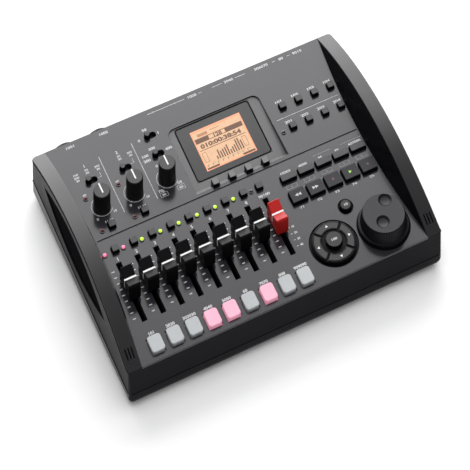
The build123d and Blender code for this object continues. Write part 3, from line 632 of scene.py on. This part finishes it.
def lamp(name, x, y, crown, rim):
    """The domed top of one light pipe, with a deeper colour round its foot."""
    bm = bmesh.new()
    bmesh.ops.create_uvsphere(bm, u_segments=24, v_segments=12, radius=LAMP_RADIUS)
    for face in bm.faces:
        face.smooth = True
    mesh = bpy.data.meshes.new(name)
    bm.to_mesh(mesh)
    bm.free()
    mesh.transform(DECK @ Matrix.Translation((x, y, 0)) @ Matrix.Diagonal((1, 1, LAMP_RISE, 1)))
    mesh.materials.append(crown)
    mesh.materials.append(rim)
    for face in mesh.polygons:
        face.material_index = int(face.normal.z < LAMP_CROWN)
    add_piece(name, mesh, "root")


track_finishes = [armed] * 2 + [playing] * 6 + [unlit]
for i, (x, finish) in enumerate(zip(columns, track_finishes)):
    lamp(f"track_lamp_{i + 1}", x + TRACK_LAMP_OFFSET, TRACK_LAMP_Y, *finish)
for i, (x, y) in enumerate(INPUT_LAMPS):
    lamp(f"input_lamp_{i + 1}", x, y, *waiting)
lamp("function_lamp", *FUNCTION_LAMP, *unlit)
light_pipes = frame["nodes"]["status_lights"].data
light_pipes.materials.clear()
light_pipes.materials.append(lamp_off)
print("lamps", len(track_finishes) + len(INPUT_LAMPS) + 1)

# %% [markdown]
# The print on the deck is thin and pale: plain numbers, hairlines and rings. Heights are given in
# millimetres, and most numbers are stretched sideways, as small panel print is. All white strokes are
# gathered in one list and all grey ones in another, and each becomes one mesh. Round the inputs there are
# two dividing lines, a ring and its numbers at each knob, and the switch legends, and the white list also
# takes a painted highlight along the left edge of the deck.

# %% Print round the inputs
HAIR, FINE, BOLD = 0.25, 0.34, 0.42
LEGEND_ROW = 2.5
white, grey = [], []
for x, front in ((-81.2, 22.0), (-54.0, 21.4)):
    white += bar(x, front, x, 72.0, BOLD)
for i in range(KNOBS):
    x = KNOB_X + i * KNOB_PITCH
    white += arc(x, KNOB_Y, 8.2, FINE, 120, 325)
    white += bar(x - 5.0, KNOB_Y - 5.6, x - 5.9, KNOB_Y - 6.6, 0.4)
    white += number("0", x - 7.0, KNOB_Y - 8.6, 1.9, 1.2) + number("10", x + 7.6, KNOB_Y - 7.6, 1.9, 1.1)
for i in range(2):
    x = KNOB_X + i * KNOB_PITCH
    white += number(str(i + 1), x + 0.4, 69.7, 2.5)
    white += number("40", x - 8.7, 47.4, 1.6, 1.3)
    white += number("11", x - 1.6, 20.8, 1.7, 1.3) + number("12", x + 2.2, 20.8, 1.7, 1.3)
    for row, legend in enumerate(("302", "30")):
        white += number("20", x + 0.6, 66.2 - LEGEND_ROW * row, 1.6, 1.3)
        white += number(legend, x + 9.4, 65.6 - LEGEND_ROW * row, 1.6, 1.3)
    white += bar(x + 9.3, 60.4, x + 9.3, 56.4, HAIR) + bar(x + 9.3, 56.4, x + 6.0, 56.4, HAIR)
for row, legend in enumerate(("100", "200", "30")):
    white += number(legend, KNOB_X - 8.6, 65.4 - LEGEND_ROW * row, 1.6, 1.3)
# A thin white line along the left edge of the deck is a painted highlight of that edge.
white += bar(-117.2, 88.0, -117.2, -10.0, HAIR)
print("input print", len(white), "shapes")

# %% [markdown]
# Two more switches stand near the third knob, with a number at each end of their travel. Along the
# rear edge, short lines and numbers say which socket lies below. Every mark keeps clear of the
# levers, because a lever would cut through a number in its way.

# %% Print round the third knob and the rear edge
SWITCH_LEGENDS = (
    (-47.6, 71.3, "0"), (-40.4, 78.0, "50"), (-31.4, 71.5, "1"), (-48.8, 57.3, "100"), (-48.6, 53.2, "200"),
    (-41.4, 61.2, "300"), (-29.2, 56.2, "400"), (-43.8, 46.2, "0"), (-33.4, 26.8, "60"), (-49.4, 26.0, "70"),
)
for x, y, text in SWITCH_LEGENDS:
    white += number(text, x, y, 2.1, 1.3)
for x, y in ((-33.8, 22.6), (-48.0, 22.4)):
    white += box_outline(x, y, 6.0, 3.4, HAIR) + number("80", x, y, 1.7, 1.3)
REAR_ROW = 89.0
REAR_STROKES = ((-32.7, -1.0), (11.0, 13.8), (23.0, 31.3), (42.8, 51.6), (75.5, 78.0), (88.5, 91.0))
REAR_LEGENDS = (
    (-98.0, "1001"), (-70.1, "1002"), (5.4, "1020"), (37.2, "3040"), (65.7, "506070"), (83.2, "80"),
    (97.4, "9010"),
)
for x0, x1 in REAR_STROKES:
    white += bar(x0, REAR_ROW, x1, REAR_ROW, BOLD)
for x in (-27.8, -9.2):
    white += bar(x, REAR_ROW - 0.8, x, REAR_ROW + 0.8, 0.4)
for x, text in REAR_LEGENDS:
    white += number(text, x, REAR_ROW, 2.1, 1.35)
print("rear print", len(white), "shapes")

# %% [markdown]
# Each fader has a scale of nine ticks beside its slot, a track number behind it and a legend behind
# its pad. The master fader has numbers as well. The function keys at the right have one each.

# %% Print on the channel strips
TICKS, TICK_PITCH, TICK_FRONT = 9, 4.95, -57.8
TRACK_KEY_Y = -2.9
PAD_Y = -82.3
PAD_LEGENDS = ("101", "2020", "303030", "4040", "5050", "60", "7070", "808", "909090")
for i, x in enumerate(columns):
    for step in range(TICKS):
        y = TICK_FRONT + step * TICK_PITCH
        white += bar(x - 7.6, y, x - 5.3, y, 0.75)
    if i < MASTER:
        white += number(str(i + 1), x + 0.9, TRACK_KEY_Y - 7.2, 2.6)
    white += number(PAD_LEGENDS[i], x + 0.4, PAD_Y + 9.7, 2.2, 1.15, 0.06)
x = columns[MASTER]
white += number("90100", x + 0.8, TRACK_KEY_Y - 7.4, 2.1, 1.3)
for step in range(4):
    y = TICK_FRONT + step * 5.2
    white += bar(x + 5.4, y, x + 6.8, y, 0.45) + number(str(40 - 10 * step), x + 9.2, y, 1.7)
FUNCTION_X, FUNCTION_PITCH = 65.7, 13.95
FUNCTION_ROWS = (50.3, 31.6)
white += bar(56.5, 41.3, 110.4, 41.3, 0.35)
for row, y in enumerate(FUNCTION_ROWS):
    for i in range(4):
        x = FUNCTION_X + i * FUNCTION_PITCH - 1.0
        white += number(f"{row + 1}0{i + 1}", x, y + 5.4, 2.1, 1.5)
print("strip print", len(white), "shapes")

# %% [markdown]
# The transport keys stand in two rows of five. Each upper key has a small framed number in front of
# it, and thin grey lines tie groups of keys together. This is the last print on the deck, so both
# lists are laid down here.

# %% Print round the transport keys
TRANSPORT_X, TRANSPORT_PITCH = 43.2, 14.9
transport = [TRANSPORT_X + i * TRANSPORT_PITCH for i in range(5)]
UPPER_Y, LOWER_Y = -5.8, -22.8
LINK_Y = -16.5
UPPER_LEGENDS = ("10203", "4050", -1, 1, "607080")
for i, (x, legend) in enumerate(zip(transport, UPPER_LEGENDS)):
    if legend in (-1, 1):
        white += arrow(x - 1.0, UPPER_Y + 5.6, 1.7, legend) + arrow(x + 0.6, UPPER_Y + 5.6, 1.7, legend)
    else:
        white += number(legend, x, UPPER_Y + 5.6, 1.9, 1.35)
    grey += box_outline(x - 0.3, UPPER_Y - 7.0, 8.6, 3.0, 0.36)
    grey += number(str(6 + i), x - 0.3, UPPER_Y - 7.0, 1.6)
    white += number(str(71 + i), x - 0.6, LOWER_Y - 8.4, 1.9, 1.5)
LINKS = ((68.0, 83.2, 2.6), (92.1, 109.2, 2.4), (42.7, 55.8, LINK_Y), (61.9, 72.3, LINK_Y))
for x0, x1, y in LINKS:
    grey += bar(x0, y, x1, y, BOLD)
white += arrow(57.6, LINK_Y, 1.5, -1) + arrow(59.2, LINK_Y, 1.5, -1)
white_print_and_highlight = plastic("white_print_and_highlight_ink", (0.52, 0.52, 0.525), 0.4, shade=0.06)
print_grey = plastic("print_grey_ink", (0.2, 0.2, 0.205), 0.4, shade=0.08)
# The white mesh holds the print and the painted highlight along the deck's edge.
ink("deck_white_print_and_highlight", white, white_print_and_highlight)
ink("deck_print_grey", grey, print_grey)
print("deck print", len(white), "white and", len(grey), "grey shapes")

# %% [markdown]
# The five tall keys carry their own marks: double arrows on two of them, and small windows that light up on
# stop, play and record. Only play is lit, and the unlit red windows of stop and record get a faint painted
# glow. A mark rides on the body of its key, so it goes down with it.

# %% Marks on the tall keys
BAR_KEY_TOP = 2.7
# The red finish of the unlit stop and record windows carries a faint painted glow.
unlit_key_lamp_painted_glow = glow("unlit_key_lamp_painted_glow", (0.3, 0.03, 0.03), 0.03, base=(0.1, 0.035, 0.035), rough=0.3)
key_lamp_green = glow("key_lamp_green", (0.4, 0.85, 0.06), 0.5, base=(0.15, 0.35, 0.03), rough=0.2)


def on_bar_key(node, mark, shapes, material):
    """A mark on the top of one tall key."""
    ink(node + mark, shapes, material, BAR_KEY_TOP + INK, node + "_body")


rewind_x, forward_x, stop_x, play_x, record_x = transport
for node, x, way in (("rewind_key", rewind_x, -1), ("forward_key", forward_x, 1)):
    marks = arrow(x - 1.3, LOWER_Y, 2.6, way) + arrow(x + 1.2, LOWER_Y, 2.6, way)
    on_bar_key(node, "_arrows", marks, white_print_and_highlight)
stop_square = bar(stop_x - 0.9, LOWER_Y, stop_x + 0.9, LOWER_Y, 1.8)
on_bar_key("stop_key", "_lamp", stop_square, unlit_key_lamp_painted_glow)
on_bar_key("play_key", "_lamp", arrow(play_x, LOWER_Y, 2.4, 1), key_lamp_green)
on_bar_key("record_key", "_lamp", disc(record_x, LOWER_Y, 0.9), unlit_key_lamp_painted_glow)
print("tall keys marked", len(transport))

# %% [markdown]
# The cursor keys and the exit button stand in round wells. On the real object the wells are so narrow and
# deep that they read as black rings, so the faces of the panel inside each well are painted black, as
# painted shade. No shape changes: only the material index of those faces does.

# %% Wells with painted shade
CURSOR_X, CURSOR_Y = 51.0, -67.6
EXIT_X, EXIT_Y = 72.4, -44.9
WELLS = ((CURSOR_X, CURSOR_Y, 19.2), (EXIT_X, EXIT_Y, 6.3))
WELL_BOTTOM = -2.5
PAINTED_SHADE_FACE = 1
# The black key plastic also serves as painted shade on the panel.
panel.data.materials.append(key_side_and_painted_shade)
corners = [TO_DECK @ vertex.co for vertex in panel.data.vertices]
well_faces = 0
for face in panel.data.polygons:
    outline = [corners[i] for i in face.vertices]
    for x, y, radius in WELLS:
        # A face wholly inside a well takes the painted shade.
        if all(math.hypot(c.x - x, c.y - y) < radius and c.z > WELL_BOTTOM for c in outline):
            face.material_index = PAINTED_SHADE_FACE
            well_faces += 1
print("well faces", well_faces)

# %% [markdown]
# The round keys carry four small arrows and two numbers, printed on the pieces that move. A dark
# line just inside the edge of each face stands for the shade of its rounded edge. The lines leave
# out the arms between the arrow keys, which don't move and would be cut by them.

# %% Marks on the round keys
CURSOR_KEY_TOP, ENTER_TOP, EXIT_TOP = 2.2, 4.2, 2.2
CURSOR_REACH = 12.9
pointers, rims = [], []
for turn in range(0, 360, 90):
    a = math.radians(turn)
    tri = [(CURSOR_REACH + 1.0, 0), (CURSOR_REACH - 0.8, 1.05), (CURSOR_REACH - 0.8, -1.05)]
    pointers.append([
        (CURSOR_X + u * math.cos(a) - v * math.sin(a), CURSOR_Y + u * math.sin(a) + v * math.cos(a))
        for u, v in tri
    ])
    rims += arc(CURSOR_X, CURSOR_Y, 15.45, 0.6, turn - 40, turn + 40, 24)
    rims += arc(CURSOR_X, CURSOR_Y, 10.3, 0.5, turn - 37, turn + 37, 24)
enter_digits = number("100", CURSOR_X, CURSOR_Y, 1.9, 1.3)
exit_digits = number("10", EXIT_X, EXIT_Y, 1.9, 1.3)
exit_rim = arc(EXIT_X, EXIT_Y, 4.1, 0.8)
round_marks = (
    ("cursor_arrows", pointers, cap_white, CURSOR_KEY_TOP + INK, "cursor_keys_body"),
    ("enter_number", enter_digits, white_print_and_highlight, ENTER_TOP + INK, "enter_button_body"),
    ("exit_number", exit_digits, white_print_and_highlight, EXIT_TOP + INK, "exit_button_body"),
    ("cursor_key_rims", rims, slot_dust_and_painted_shade, CURSOR_KEY_TOP + INK / 2, "cursor_keys_body"),
    ("exit_button_rim", exit_rim, slot_dust_and_painted_shade, EXIT_TOP + INK / 2, "exit_button_body"),
)
for name, shapes, finish, height, body in round_marks:
    ink(name, shapes, finish, height, body)
print("round key marks", len(round_marks))

# %% [markdown]
# Where two mouldings meet there is a groove, and a groove looks black because no light gets out of it. From
# a metre away these dark lines are what separates the rail from the flank. Short dark rods are laid along
# the real edges of the solids as painted shade, so the lines follow the arch exactly.

# %% Rods
def rod(start, end, radius, verts, faces):
    """Adds a thin four-sided rod from one point to another to lists of corners and faces."""
    along = (end - start).normalized()
    side = along.cross(Vector((1, 0, 0) if abs(along.x) < 0.9 else (0, 0, 1))).normalized() * radius
    over = along.cross(side)
    first = len(verts)
    for point in (start, end + along * radius * 0.2):
        verts += [point + side, point + over, point - side, point - over]
    faces += [(first + i, first + (i + 1) % 4, first + 4 + (i + 1) % 4, first + 4 + i) for i in range(4)]


def rods(name, verts, faces, material, body="root"):
    """One piece that holds a set of rods."""
    mesh = bpy.data.meshes.new(name)
    mesh.from_pydata(verts, [], faces)
    mesh.materials.append(material)
    add_piece(name, mesh, body)
    print(name, len(faces) // 4, "rods")


print("rod helpers ready")

# %% [markdown]
# Which edges get a rod is a question of where they lie. The band's seam is its lower outer edge,
# the lens is drawn by its own outline, and both lie on the outer side of the rail. Margins in
# metres keep out the edges further in, and the short ones at the ends.

# %% Seams
SIDE_X = 0.1285
CREASE_ANGLE = math.radians(35)
LOOKS_DOWN = -0.3
BAND_MARGIN, LENS_MARGIN, SHORTEST_RUN = 0.0003, 0.0004, 0.0004


def seam(name, node, keep, radius):
    """Dark thin rods along those sharp edges of a node that a test keeps."""
    bm = bmesh.new()
    bm.from_mesh(frame["nodes"][node].data)
    bmesh.ops.remove_doubles(bm, verts=bm.verts, dist=WELD)
    verts, faces = [], []
    for edge in bm.edges:
        if len(edge.link_faces) == 2 and edge.calc_face_angle() > CREASE_ANGLE and keep(edge):
            rod(edge.verts[0].co, edge.verts[1].co, radius * MM, verts, faces)
    bm.free()
    rods(name, verts, faces, slot_dust_and_painted_shade)


def outwards(edge):
    """How far the middle of an edge is from the recorder's middle plane."""
    return abs(edge.verts[0].co.x + edge.verts[1].co.x) / 2


def under_band(edge):
    """Keeps the lower outer edge of the band: its side face lies above it."""
    run = abs(edge.verts[0].co.y - edge.verts[1].co.y)
    under = any(face.normal.z < LOOKS_DOWN for face in edge.link_faces)
    return outwards(edge) > SIDE_X - BAND_MARGIN and run > SHORTEST_RUN and under


def round_lens(edge):
    """Keeps the outline of the lens on its outer face."""
    return outwards(edge) > LENS_X - LENS_MARGIN


# These rods are painted shade in the grooves.
seam("band_seams", "rail_bands", under_band, 0.5)
seam("lens_seams", "side_inserts", round_lens, 0.3)
print("seams laid")

# %% [markdown]
# The two halves of the shell part along three straight lines, one on each flank and one at the
# The line is not an edge of one solid but the gap between two, so its ends are given, and dark rods lay
# painted shade along it.

# %% The parting line
PARTING_FRONT, PARTING_REAR = (-0.0925, 0.0117), (0.0905, 0.0167)
FLANK_RADIUS, FRONT_RADIUS = 0.45, 0.3
FRONT_LINE = (0.1255, -0.095, 0.0117)
verts, faces = [], []
for x in (-SIDE_X, SIDE_X):
    rod(Vector((x, *PARTING_FRONT)), Vector((x, *PARTING_REAR)), FLANK_RADIUS * MM, verts, faces)
rod(Vector((-FRONT_LINE[0], *FRONT_LINE[1:])), Vector(FRONT_LINE), FRONT_RADIUS * MM, verts, faces)
# The parting line rods are painted shade of the gap.
rods("parting_line", verts, faces, slot_dust_and_painted_shade)

# %% [markdown]
# The dial is turned with a finger in a dimple or by its rim, so its flank is ribbed all round. The ribs are
# thin rods laid up the cone, and a black ring on the deck is painted shade for the gap under it.

# %% Dial ribs
DIAL_X, DIAL_Y = 91.6, -70.3
RIB_FOOT, RIB_HEAD = (17.7, 3.3), (16.35, 9.9)
RIBS, RIB_RADIUS = 60, 0.28
verts, faces = [], []
for i in range(RIBS):
    turn = 2 * math.pi * i / RIBS
    foot, head = (DECK @ Vector((*around(DIAL_X, DIAL_Y, r, turn), z)) for r, z in (RIB_FOOT, RIB_HEAD))
    rod(foot, head, RIB_RADIUS * MM, verts, faces)
rods("dial_ribs", verts, faces, dial_side, body_of("jog_dial"))
# The black ring round the dial is painted shade of the gap under it.
ink("dial_gap_painted_shade", arc(DIAL_X, DIAL_Y, 19.9, 1.3), slot_dust_and_painted_shade)

# %% [markdown]
# The display is a lit amber panel behind a tinted window that leans back in its pocket. The picture is laid
# on the window's face in thin layers, and each layer a little higher than the last: the black outline, which
# is painted shade of the groove round the glass, a deeper rim, the amber light, then the marks.

# %% The display window
PANE_X, PANE_Y = 12.2, 45.6
PANE_WIDTH, PANE_LENGTH = 63.5, 46.0
POCKET_FRONT, POCKET_REAR = 17.0, 69.5
FRONT_DEPTH, REAR_DEPTH = 4.2, 1.0
LCD_WIDTH, LCD_LENGTH = 42.0, 33.2
LCD_SHIFT = -0.6
pane_lean = math.atan2(FRONT_DEPTH - REAR_DEPTH, POCKET_REAR - POCKET_FRONT)
pane_share = (POCKET_REAR - PANE_Y) / (POCKET_REAR - POCKET_FRONT)
pane_depth = REAR_DEPTH + (FRONT_DEPTH - REAR_DEPTH) * pane_share
PANE = Matrix.Translation((PANE_X, PANE_Y, -pane_depth)) @ Matrix.Rotation(pane_lean, 4, "X")


def lcd_y(share):
    """The place along the lit area for a share of its length, counted from the rear."""
    return (0.5 - share) * LCD_LENGTH + LCD_SHIFT


def lcd(u0, v0, u1, v1):
    """A filled rectangle on the lit area, in shares of its width and of its length from the rear."""
    x0, x1 = (u0 - 0.5) * LCD_WIDTH, (u1 - 0.5) * LCD_WIDTH
    y0, y1 = lcd_y(v1), lcd_y(v0)
    return [[(x0, y0), (x1, y0), (x1, y1), (x0, y1)]]


pane_groove_painted_shade = plastic("pane_groove_painted_shade_line", (0.003, 0.003, 0.003), 0.6, specular=0.02)
lcd_edge = glow("lcd_amber_rim", (1.0, 0.42, 0.24), 0.75, base=(0.3, 0.12, 0.06), rough=0.2)
lcd_amber = glow("lcd_amber_light", (1.0, 0.62, 0.37), 0.72, base=(0.12, 0.07, 0.04), rough=0.3)
pane_edge = soft_outline(0, 0, PANE_WIDTH - 1.0, PANE_LENGTH - 1.0, 2.6, 1.0)
# The black outline round the pane is painted shade of the groove round the glass.
ink("display_outline", pane_edge, pane_groove_painted_shade, 0.06, matrix=PANE)
ink("display_rim_light", lcd(-0.005, -0.005, 1.005, 1.005), lcd_edge, 0.05, matrix=PANE)
ink("display_light", lcd(0.02, 0.055, 0.98, 0.97), lcd_amber, 0.08, matrix=PANE)
print("display lean", round(math.degrees(pane_lean), 2), "degrees")

# %% [markdown]
# The picture is what a counter page shows: a title bar with a number, the counter, a ruled line,
# level meters over a scale, and two boxes below. It is built from rectangles and digits only, with
# made-up values. A second, paler brown is kept for the lesser marks.

# %% The picture on the display
MARK_LEVEL = 0.11
METERS = (0.12, 0.3, 0.22, 0.26, 0.28, 0.34, 0.14, 0.2, 0.24, 0.38, 0.4, 0.3)
marks = lcd(0.02, 0.2, 0.27, 0.32) + lcd(0.27, 0.2, 0.29, 0.32) + lcd(0.62, 0.2, 0.97, 0.32)
marks += lcd(0.29, 0.2, 0.62, 0.215) + lcd(0.29, 0.305, 0.62, 0.32)
marks += lcd(0.03, 0.495, 0.95, 0.51)
for i, level in enumerate(METERS):
    u = 0.047 * i
    marks += lcd(0.27 + u, 0.84 - level * 0.75, 0.295 + u, 0.84)
for i in range(9):
    u = 0.05 + 0.1 * i
    marks += lcd(u, 0.87, u + 0.06, 0.875) + lcd(u, 0.87, u + 0.01, 0.92)
marks += lcd(0.02, 0.94, 0.26, 0.985) + lcd(0.74, 0.94, 0.98, 0.985)
marks += number("010:00:38:54", -0.02 * LCD_WIDTH, lcd_y(0.41), 3.4, 1.4, 0.06)
marks += number("128", -0.04 * LCD_WIDTH, lcd_y(0.26), 2.9, 1.25, 0.05)
pale = lcd(0.1, 0.1, 0.3, 0.17) + lcd(0.36, 0.1, 0.55, 0.115)
for share in (-0.42, 0.38):
    pale += box_outline(share * LCD_WIDTH, -0.2 * LCD_LENGTH, 3.2, 8.0, 0.4)
lcd_ink = glow("lcd_brown_ink", (0.2, 0.09, 0.04), 0.5, base=(0.06, 0.03, 0.02), rough=0.2)
lcd_ink_pale = glow("lcd_pale_ink", (0.5, 0.22, 0.1), 0.6, base=(0.2, 0.1, 0.06), rough=0.2)
ink("display_marks", marks, lcd_ink, MARK_LEVEL, matrix=PANE)
ink("display_pale_marks", pale, lcd_ink_pale, MARK_LEVEL, matrix=PANE)
print("display marks", len(marks) + len(pale))

# %% [markdown]
# The sides of the display's pocket and the ramp under the soft keys slope towards the sky, so they are
# painted paler than the panel, as painted light, while its upright walls are painted black, as painted
# shade. They are all one moulding with the panel, so only the finish of those faces changes.

# %% Pocket ramps, painted light and shade
POCKET_SIDES = (-24.5, 51.5)
RAMP_FRONT = 8.0
POCKET_LEVELS = (-6.0, -0.2)
PAINTED_LIGHT_FACE = 2
SLOPING = 0.3
panel.data.materials.append(ramp_painted_light)
ramp_faces = 0
for face in panel.data.polygons:
    spot = TO_DECK @ face.center
    inside = POCKET_SIDES[0] < spot.x < POCKET_SIDES[1] and RAMP_FRONT < spot.y < POCKET_REAR + 2.0
    if inside and POCKET_LEVELS[0] < spot.z < POCKET_LEVELS[1]:
        # Sloping faces in the pocket take the painted light, and upright ones the painted shade.
        sloping = face.normal.dot(DECK_UP) > SLOPING
        face.material_index = PAINTED_LIGHT_FACE if sloping else PAINTED_SHADE_FACE
        ramp_faces += sloping
print("ramp faces", ramp_faces)

# %% [markdown]
# The recorder was photographed on white paper. The floor is one large plane, rough enough to show no
# reflection, and it glows a little by itself so that it comes out as white as the page does.

# %% Floor
bpy.ops.mesh.primitive_plane_add(size=12, location=(0, 0, 0))
floor = bpy.context.object
floor.name = "studio_floor"
paper = bpy.data.materials.new("white_studio_paper")
paper.use_nodes = True
paper_shader = paper.node_tree.nodes["Principled BSDF"]
paper_shader.inputs["Base Color"].default_value = (0.92, 0.92, 0.92, 1)
paper_shader.inputs["Emission Color"].default_value = (1, 1, 1, 1)
paper_shader.inputs["Emission Strength"].default_value = 0.08
paper_shader.inputs["Roughness"].default_value = 0.9
paper_shader.inputs["Specular IOR Level"].default_value = 0.1
floor.data.materials.append(paper)
print("floor down")

# %% [markdown]
# The light is soft and comes from two places: a wide box low behind the recorder, for the thin
# highlights along its rear edges, and a large one overhead for the shadow on the floor. The second
# is kept out of reflections, because the panel would mirror it. A dim white world fills the rest.

# %% Lights
def softbox(name, place, aim, width, height, power):
    """A rectangular soft light at a place, turned to a point."""
    light = bpy.data.lights.new(name, "AREA")
    light.shape = "RECTANGLE"
    light.size = width
    light.size_y = height
    light.energy = power
    box = bpy.data.objects.new(name, light)
    bpy.context.scene.collection.objects.link(box)
    box.location = place
    box.rotation_euler = (Vector(aim) - Vector(place)).to_track_quat("-Z", "Y").to_euler()
    return box


softbox("horizon_glow", (0.4, 2.6, 0.5), (0, 0, 0.1), 4.0, 0.9, 60)
ceiling = softbox("ceiling_fill", (0.1, 0.1, 1.9), (0, 0, 0), 3.2, 3.2, 52)
ceiling.visible_glossy = False
world = bpy.data.worlds.new("studio")
bpy.context.scene.world = world
world.use_nodes = True
world.node_tree.nodes["Background"].inputs["Color"].default_value = (1, 1, 1, 1)
world.node_tree.nodes["Background"].inputs["Strength"].default_value = 0.16
bpy.context.scene.view_settings.view_transform = "Standard"
print("lights", len(bpy.data.lights))

# %% [markdown]
# The panel is glossy enough to work as a dark mirror: its grey is the reflection of a big white
# scrim behind the recorder, and every knob stands on its own black reflection. The scrim is lit from
# below, so it is bright at the bottom and fades out at the top, and the panel shades to the front.
# A ramp of brightness along its height does this, leaning a little to one side.

# %% Light on the scrim
SCRIM_STOPS = (
    (-0.7, 0.7), (-0.3, 0.88), (-0.12, 1.0), (0.0, 0.68), (0.1, 0.38), (0.2, 0.16), (0.3, 0.05), (0.45, 0.0),
)
SCRIM_BOTTOM, SCRIM_TOP = SCRIM_STOPS[0][0], SCRIM_STOPS[-1][0]
SCRIM_SLANT = 0.3
SCRIM_POWER = 5.0
scrim_light = bpy.data.materials.new("scrim_light")
scrim_light.use_nodes = True
tree = scrim_light.node_tree
tree.nodes.remove(tree.nodes["Principled BSDF"])
place = tree.nodes.new("ShaderNodeTexCoord")
split = tree.nodes.new("ShaderNodeSeparateXYZ")
slant = tree.nodes.new("ShaderNodeMath")
slant.operation = "MULTIPLY_ADD"
slant.inputs[1].default_value = SCRIM_SLANT
height = tree.nodes.new("ShaderNodeMapRange")
height.inputs["From Min"].default_value = SCRIM_BOTTOM
height.inputs["From Max"].default_value = SCRIM_TOP
fade = tree.nodes.new("ShaderNodeValToRGB")
while len(fade.color_ramp.elements) < len(SCRIM_STOPS):
    fade.color_ramp.elements.new(0.5)
for stop, (level, value) in zip(fade.color_ramp.elements, SCRIM_STOPS):
    stop.position = (level - SCRIM_BOTTOM) / (SCRIM_TOP - SCRIM_BOTTOM)
    stop.color = (value, value, value, 1)
shine = tree.nodes.new("ShaderNodeEmission")
shine.inputs["Strength"].default_value = SCRIM_POWER
for source, target in (
    (place.outputs["Object"], split.inputs["Vector"]), (split.outputs["X"], slant.inputs[0]),
    (split.outputs["Y"], slant.inputs[2]), (slant.outputs["Value"], height.inputs["Value"]),
    (height.outputs["Result"], fade.inputs["Fac"]), (fade.outputs["Color"], shine.inputs["Color"]),
    (shine.outputs["Emission"], tree.nodes["Material Output"].inputs["Surface"]),
):
    tree.links.new(source, target)
print("scrim stops", len(SCRIM_STOPS))

# %% [markdown]
# The scrim stands where the panel's mirror image of the camera looks to, and faces the recorder.
# Only reflections and light see it, or it would stand in the way of a view from behind.

# %% The scrim
SCRIM_DISTANCE = 1.7
SCRIM_AIM = Vector((0.284, 0.572, 0.770)).normalized()
mesh = bpy.data.meshes.new("scrim")
mesh.from_pydata([(-1.0, -0.95, 0), (1.0, -0.95, 0), (1.0, 0.5, 0), (-1.0, 0.5, 0)], [], [(0, 1, 2, 3)])
mesh.materials.append(scrim_light)
scrim = bpy.data.objects.new("scrim", mesh)
bpy.context.scene.collection.objects.link(scrim)
scrim_side = SCRIM_AIM.cross(Vector((0, 0, 1))).normalized()
scrim_turn = Matrix((scrim_side, scrim_side.cross(SCRIM_AIM), -SCRIM_AIM)).transposed().to_4x4()
scrim_place = Vector((0, 0, DECK_MID_Z * MM)) + SCRIM_AIM * SCRIM_DISTANCE
scrim.matrix_world = Matrix.Translation(scrim_place) @ scrim_turn
scrim.visible_camera = False
print("scrim up")

# %% [markdown]
# The photograph was taken from the front left with a long lens, and its film plane leans back, so
# the depth of the recorder looks stretched. A leaning film plane is an ordinary camera move: the
# picture's up direction is tipped towards the lens. First come the directions of the camera, then
# the one in which the middle of the picture lies.

# %% Camera directions
AZIMUTH = math.radians(-24.915)
ELEVATION = math.radians(47.667)
ROLL = math.radians(-0.564)
FILM_TILT = math.radians(36.0)
FOCAL_PX = 4179.15
PICTURE_PX = 470.0
CENTRE_PX = (234.014, 202.244)
right = Vector((math.cos(AZIMUTH), math.sin(AZIMUTH), 0))
level = Vector((-math.sin(AZIMUTH), math.cos(AZIMUTH), 0))
ahead = level * math.cos(ELEVATION) - Vector((0, 0, math.sin(ELEVATION)))
upward = right.cross(ahead)
across = math.cos(ROLL) * right + math.sin(ROLL) * upward
squared = -math.sin(ROLL) * right + math.cos(ROLL) * upward
film_up = math.cos(FILM_TILT) * squared - math.sin(FILM_TILT) * ahead
offset_x = (PICTURE_PX / 2 - CENTRE_PX[0]) / FOCAL_PX
offset_y = (CENTRE_PX[1] - PICTURE_PX / 2) / FOCAL_PX
sight = ahead + offset_x * across + offset_y * film_up
print("picture middle", round(offset_x, 5), round(offset_y, 5))

# %% [markdown]
# Blender keeps a sheared camera only when the shear comes in through the parent inverse, so the
# camera hangs on an empty, the tripod, which stays at the origin.

# %% Camera
DISTANCE = 3.1838
AIM = Vector((0, 0, 0.025))
SENSOR_MM = 36.0
film = Matrix((across, film_up, -sight.normalized())).transposed().to_4x4()
film.translation = AIM - ahead * DISTANCE
camera_data = bpy.data.cameras.new("long_lens")
camera_data.sensor_width = SENSOR_MM
camera_data.lens = FOCAL_PX * sight.length / PICTURE_PX * SENSOR_MM
camera_data.clip_start = 0.1
camera_data.clip_end = 50
camera = bpy.data.objects.new("camera", camera_data)
tripod = bpy.data.objects.new("tripod", None)
bpy.context.scene.collection.objects.link(tripod)
bpy.context.scene.collection.objects.link(camera)
camera.parent = tripod
camera.matrix_parent_inverse = film
bpy.context.scene.camera = camera
print("lens", round(camera_data.lens, 2), "mm")

# %% [markdown]
# Last, the view layer is brought up to date.

# %% The end
bpy.context.view_layer.update()
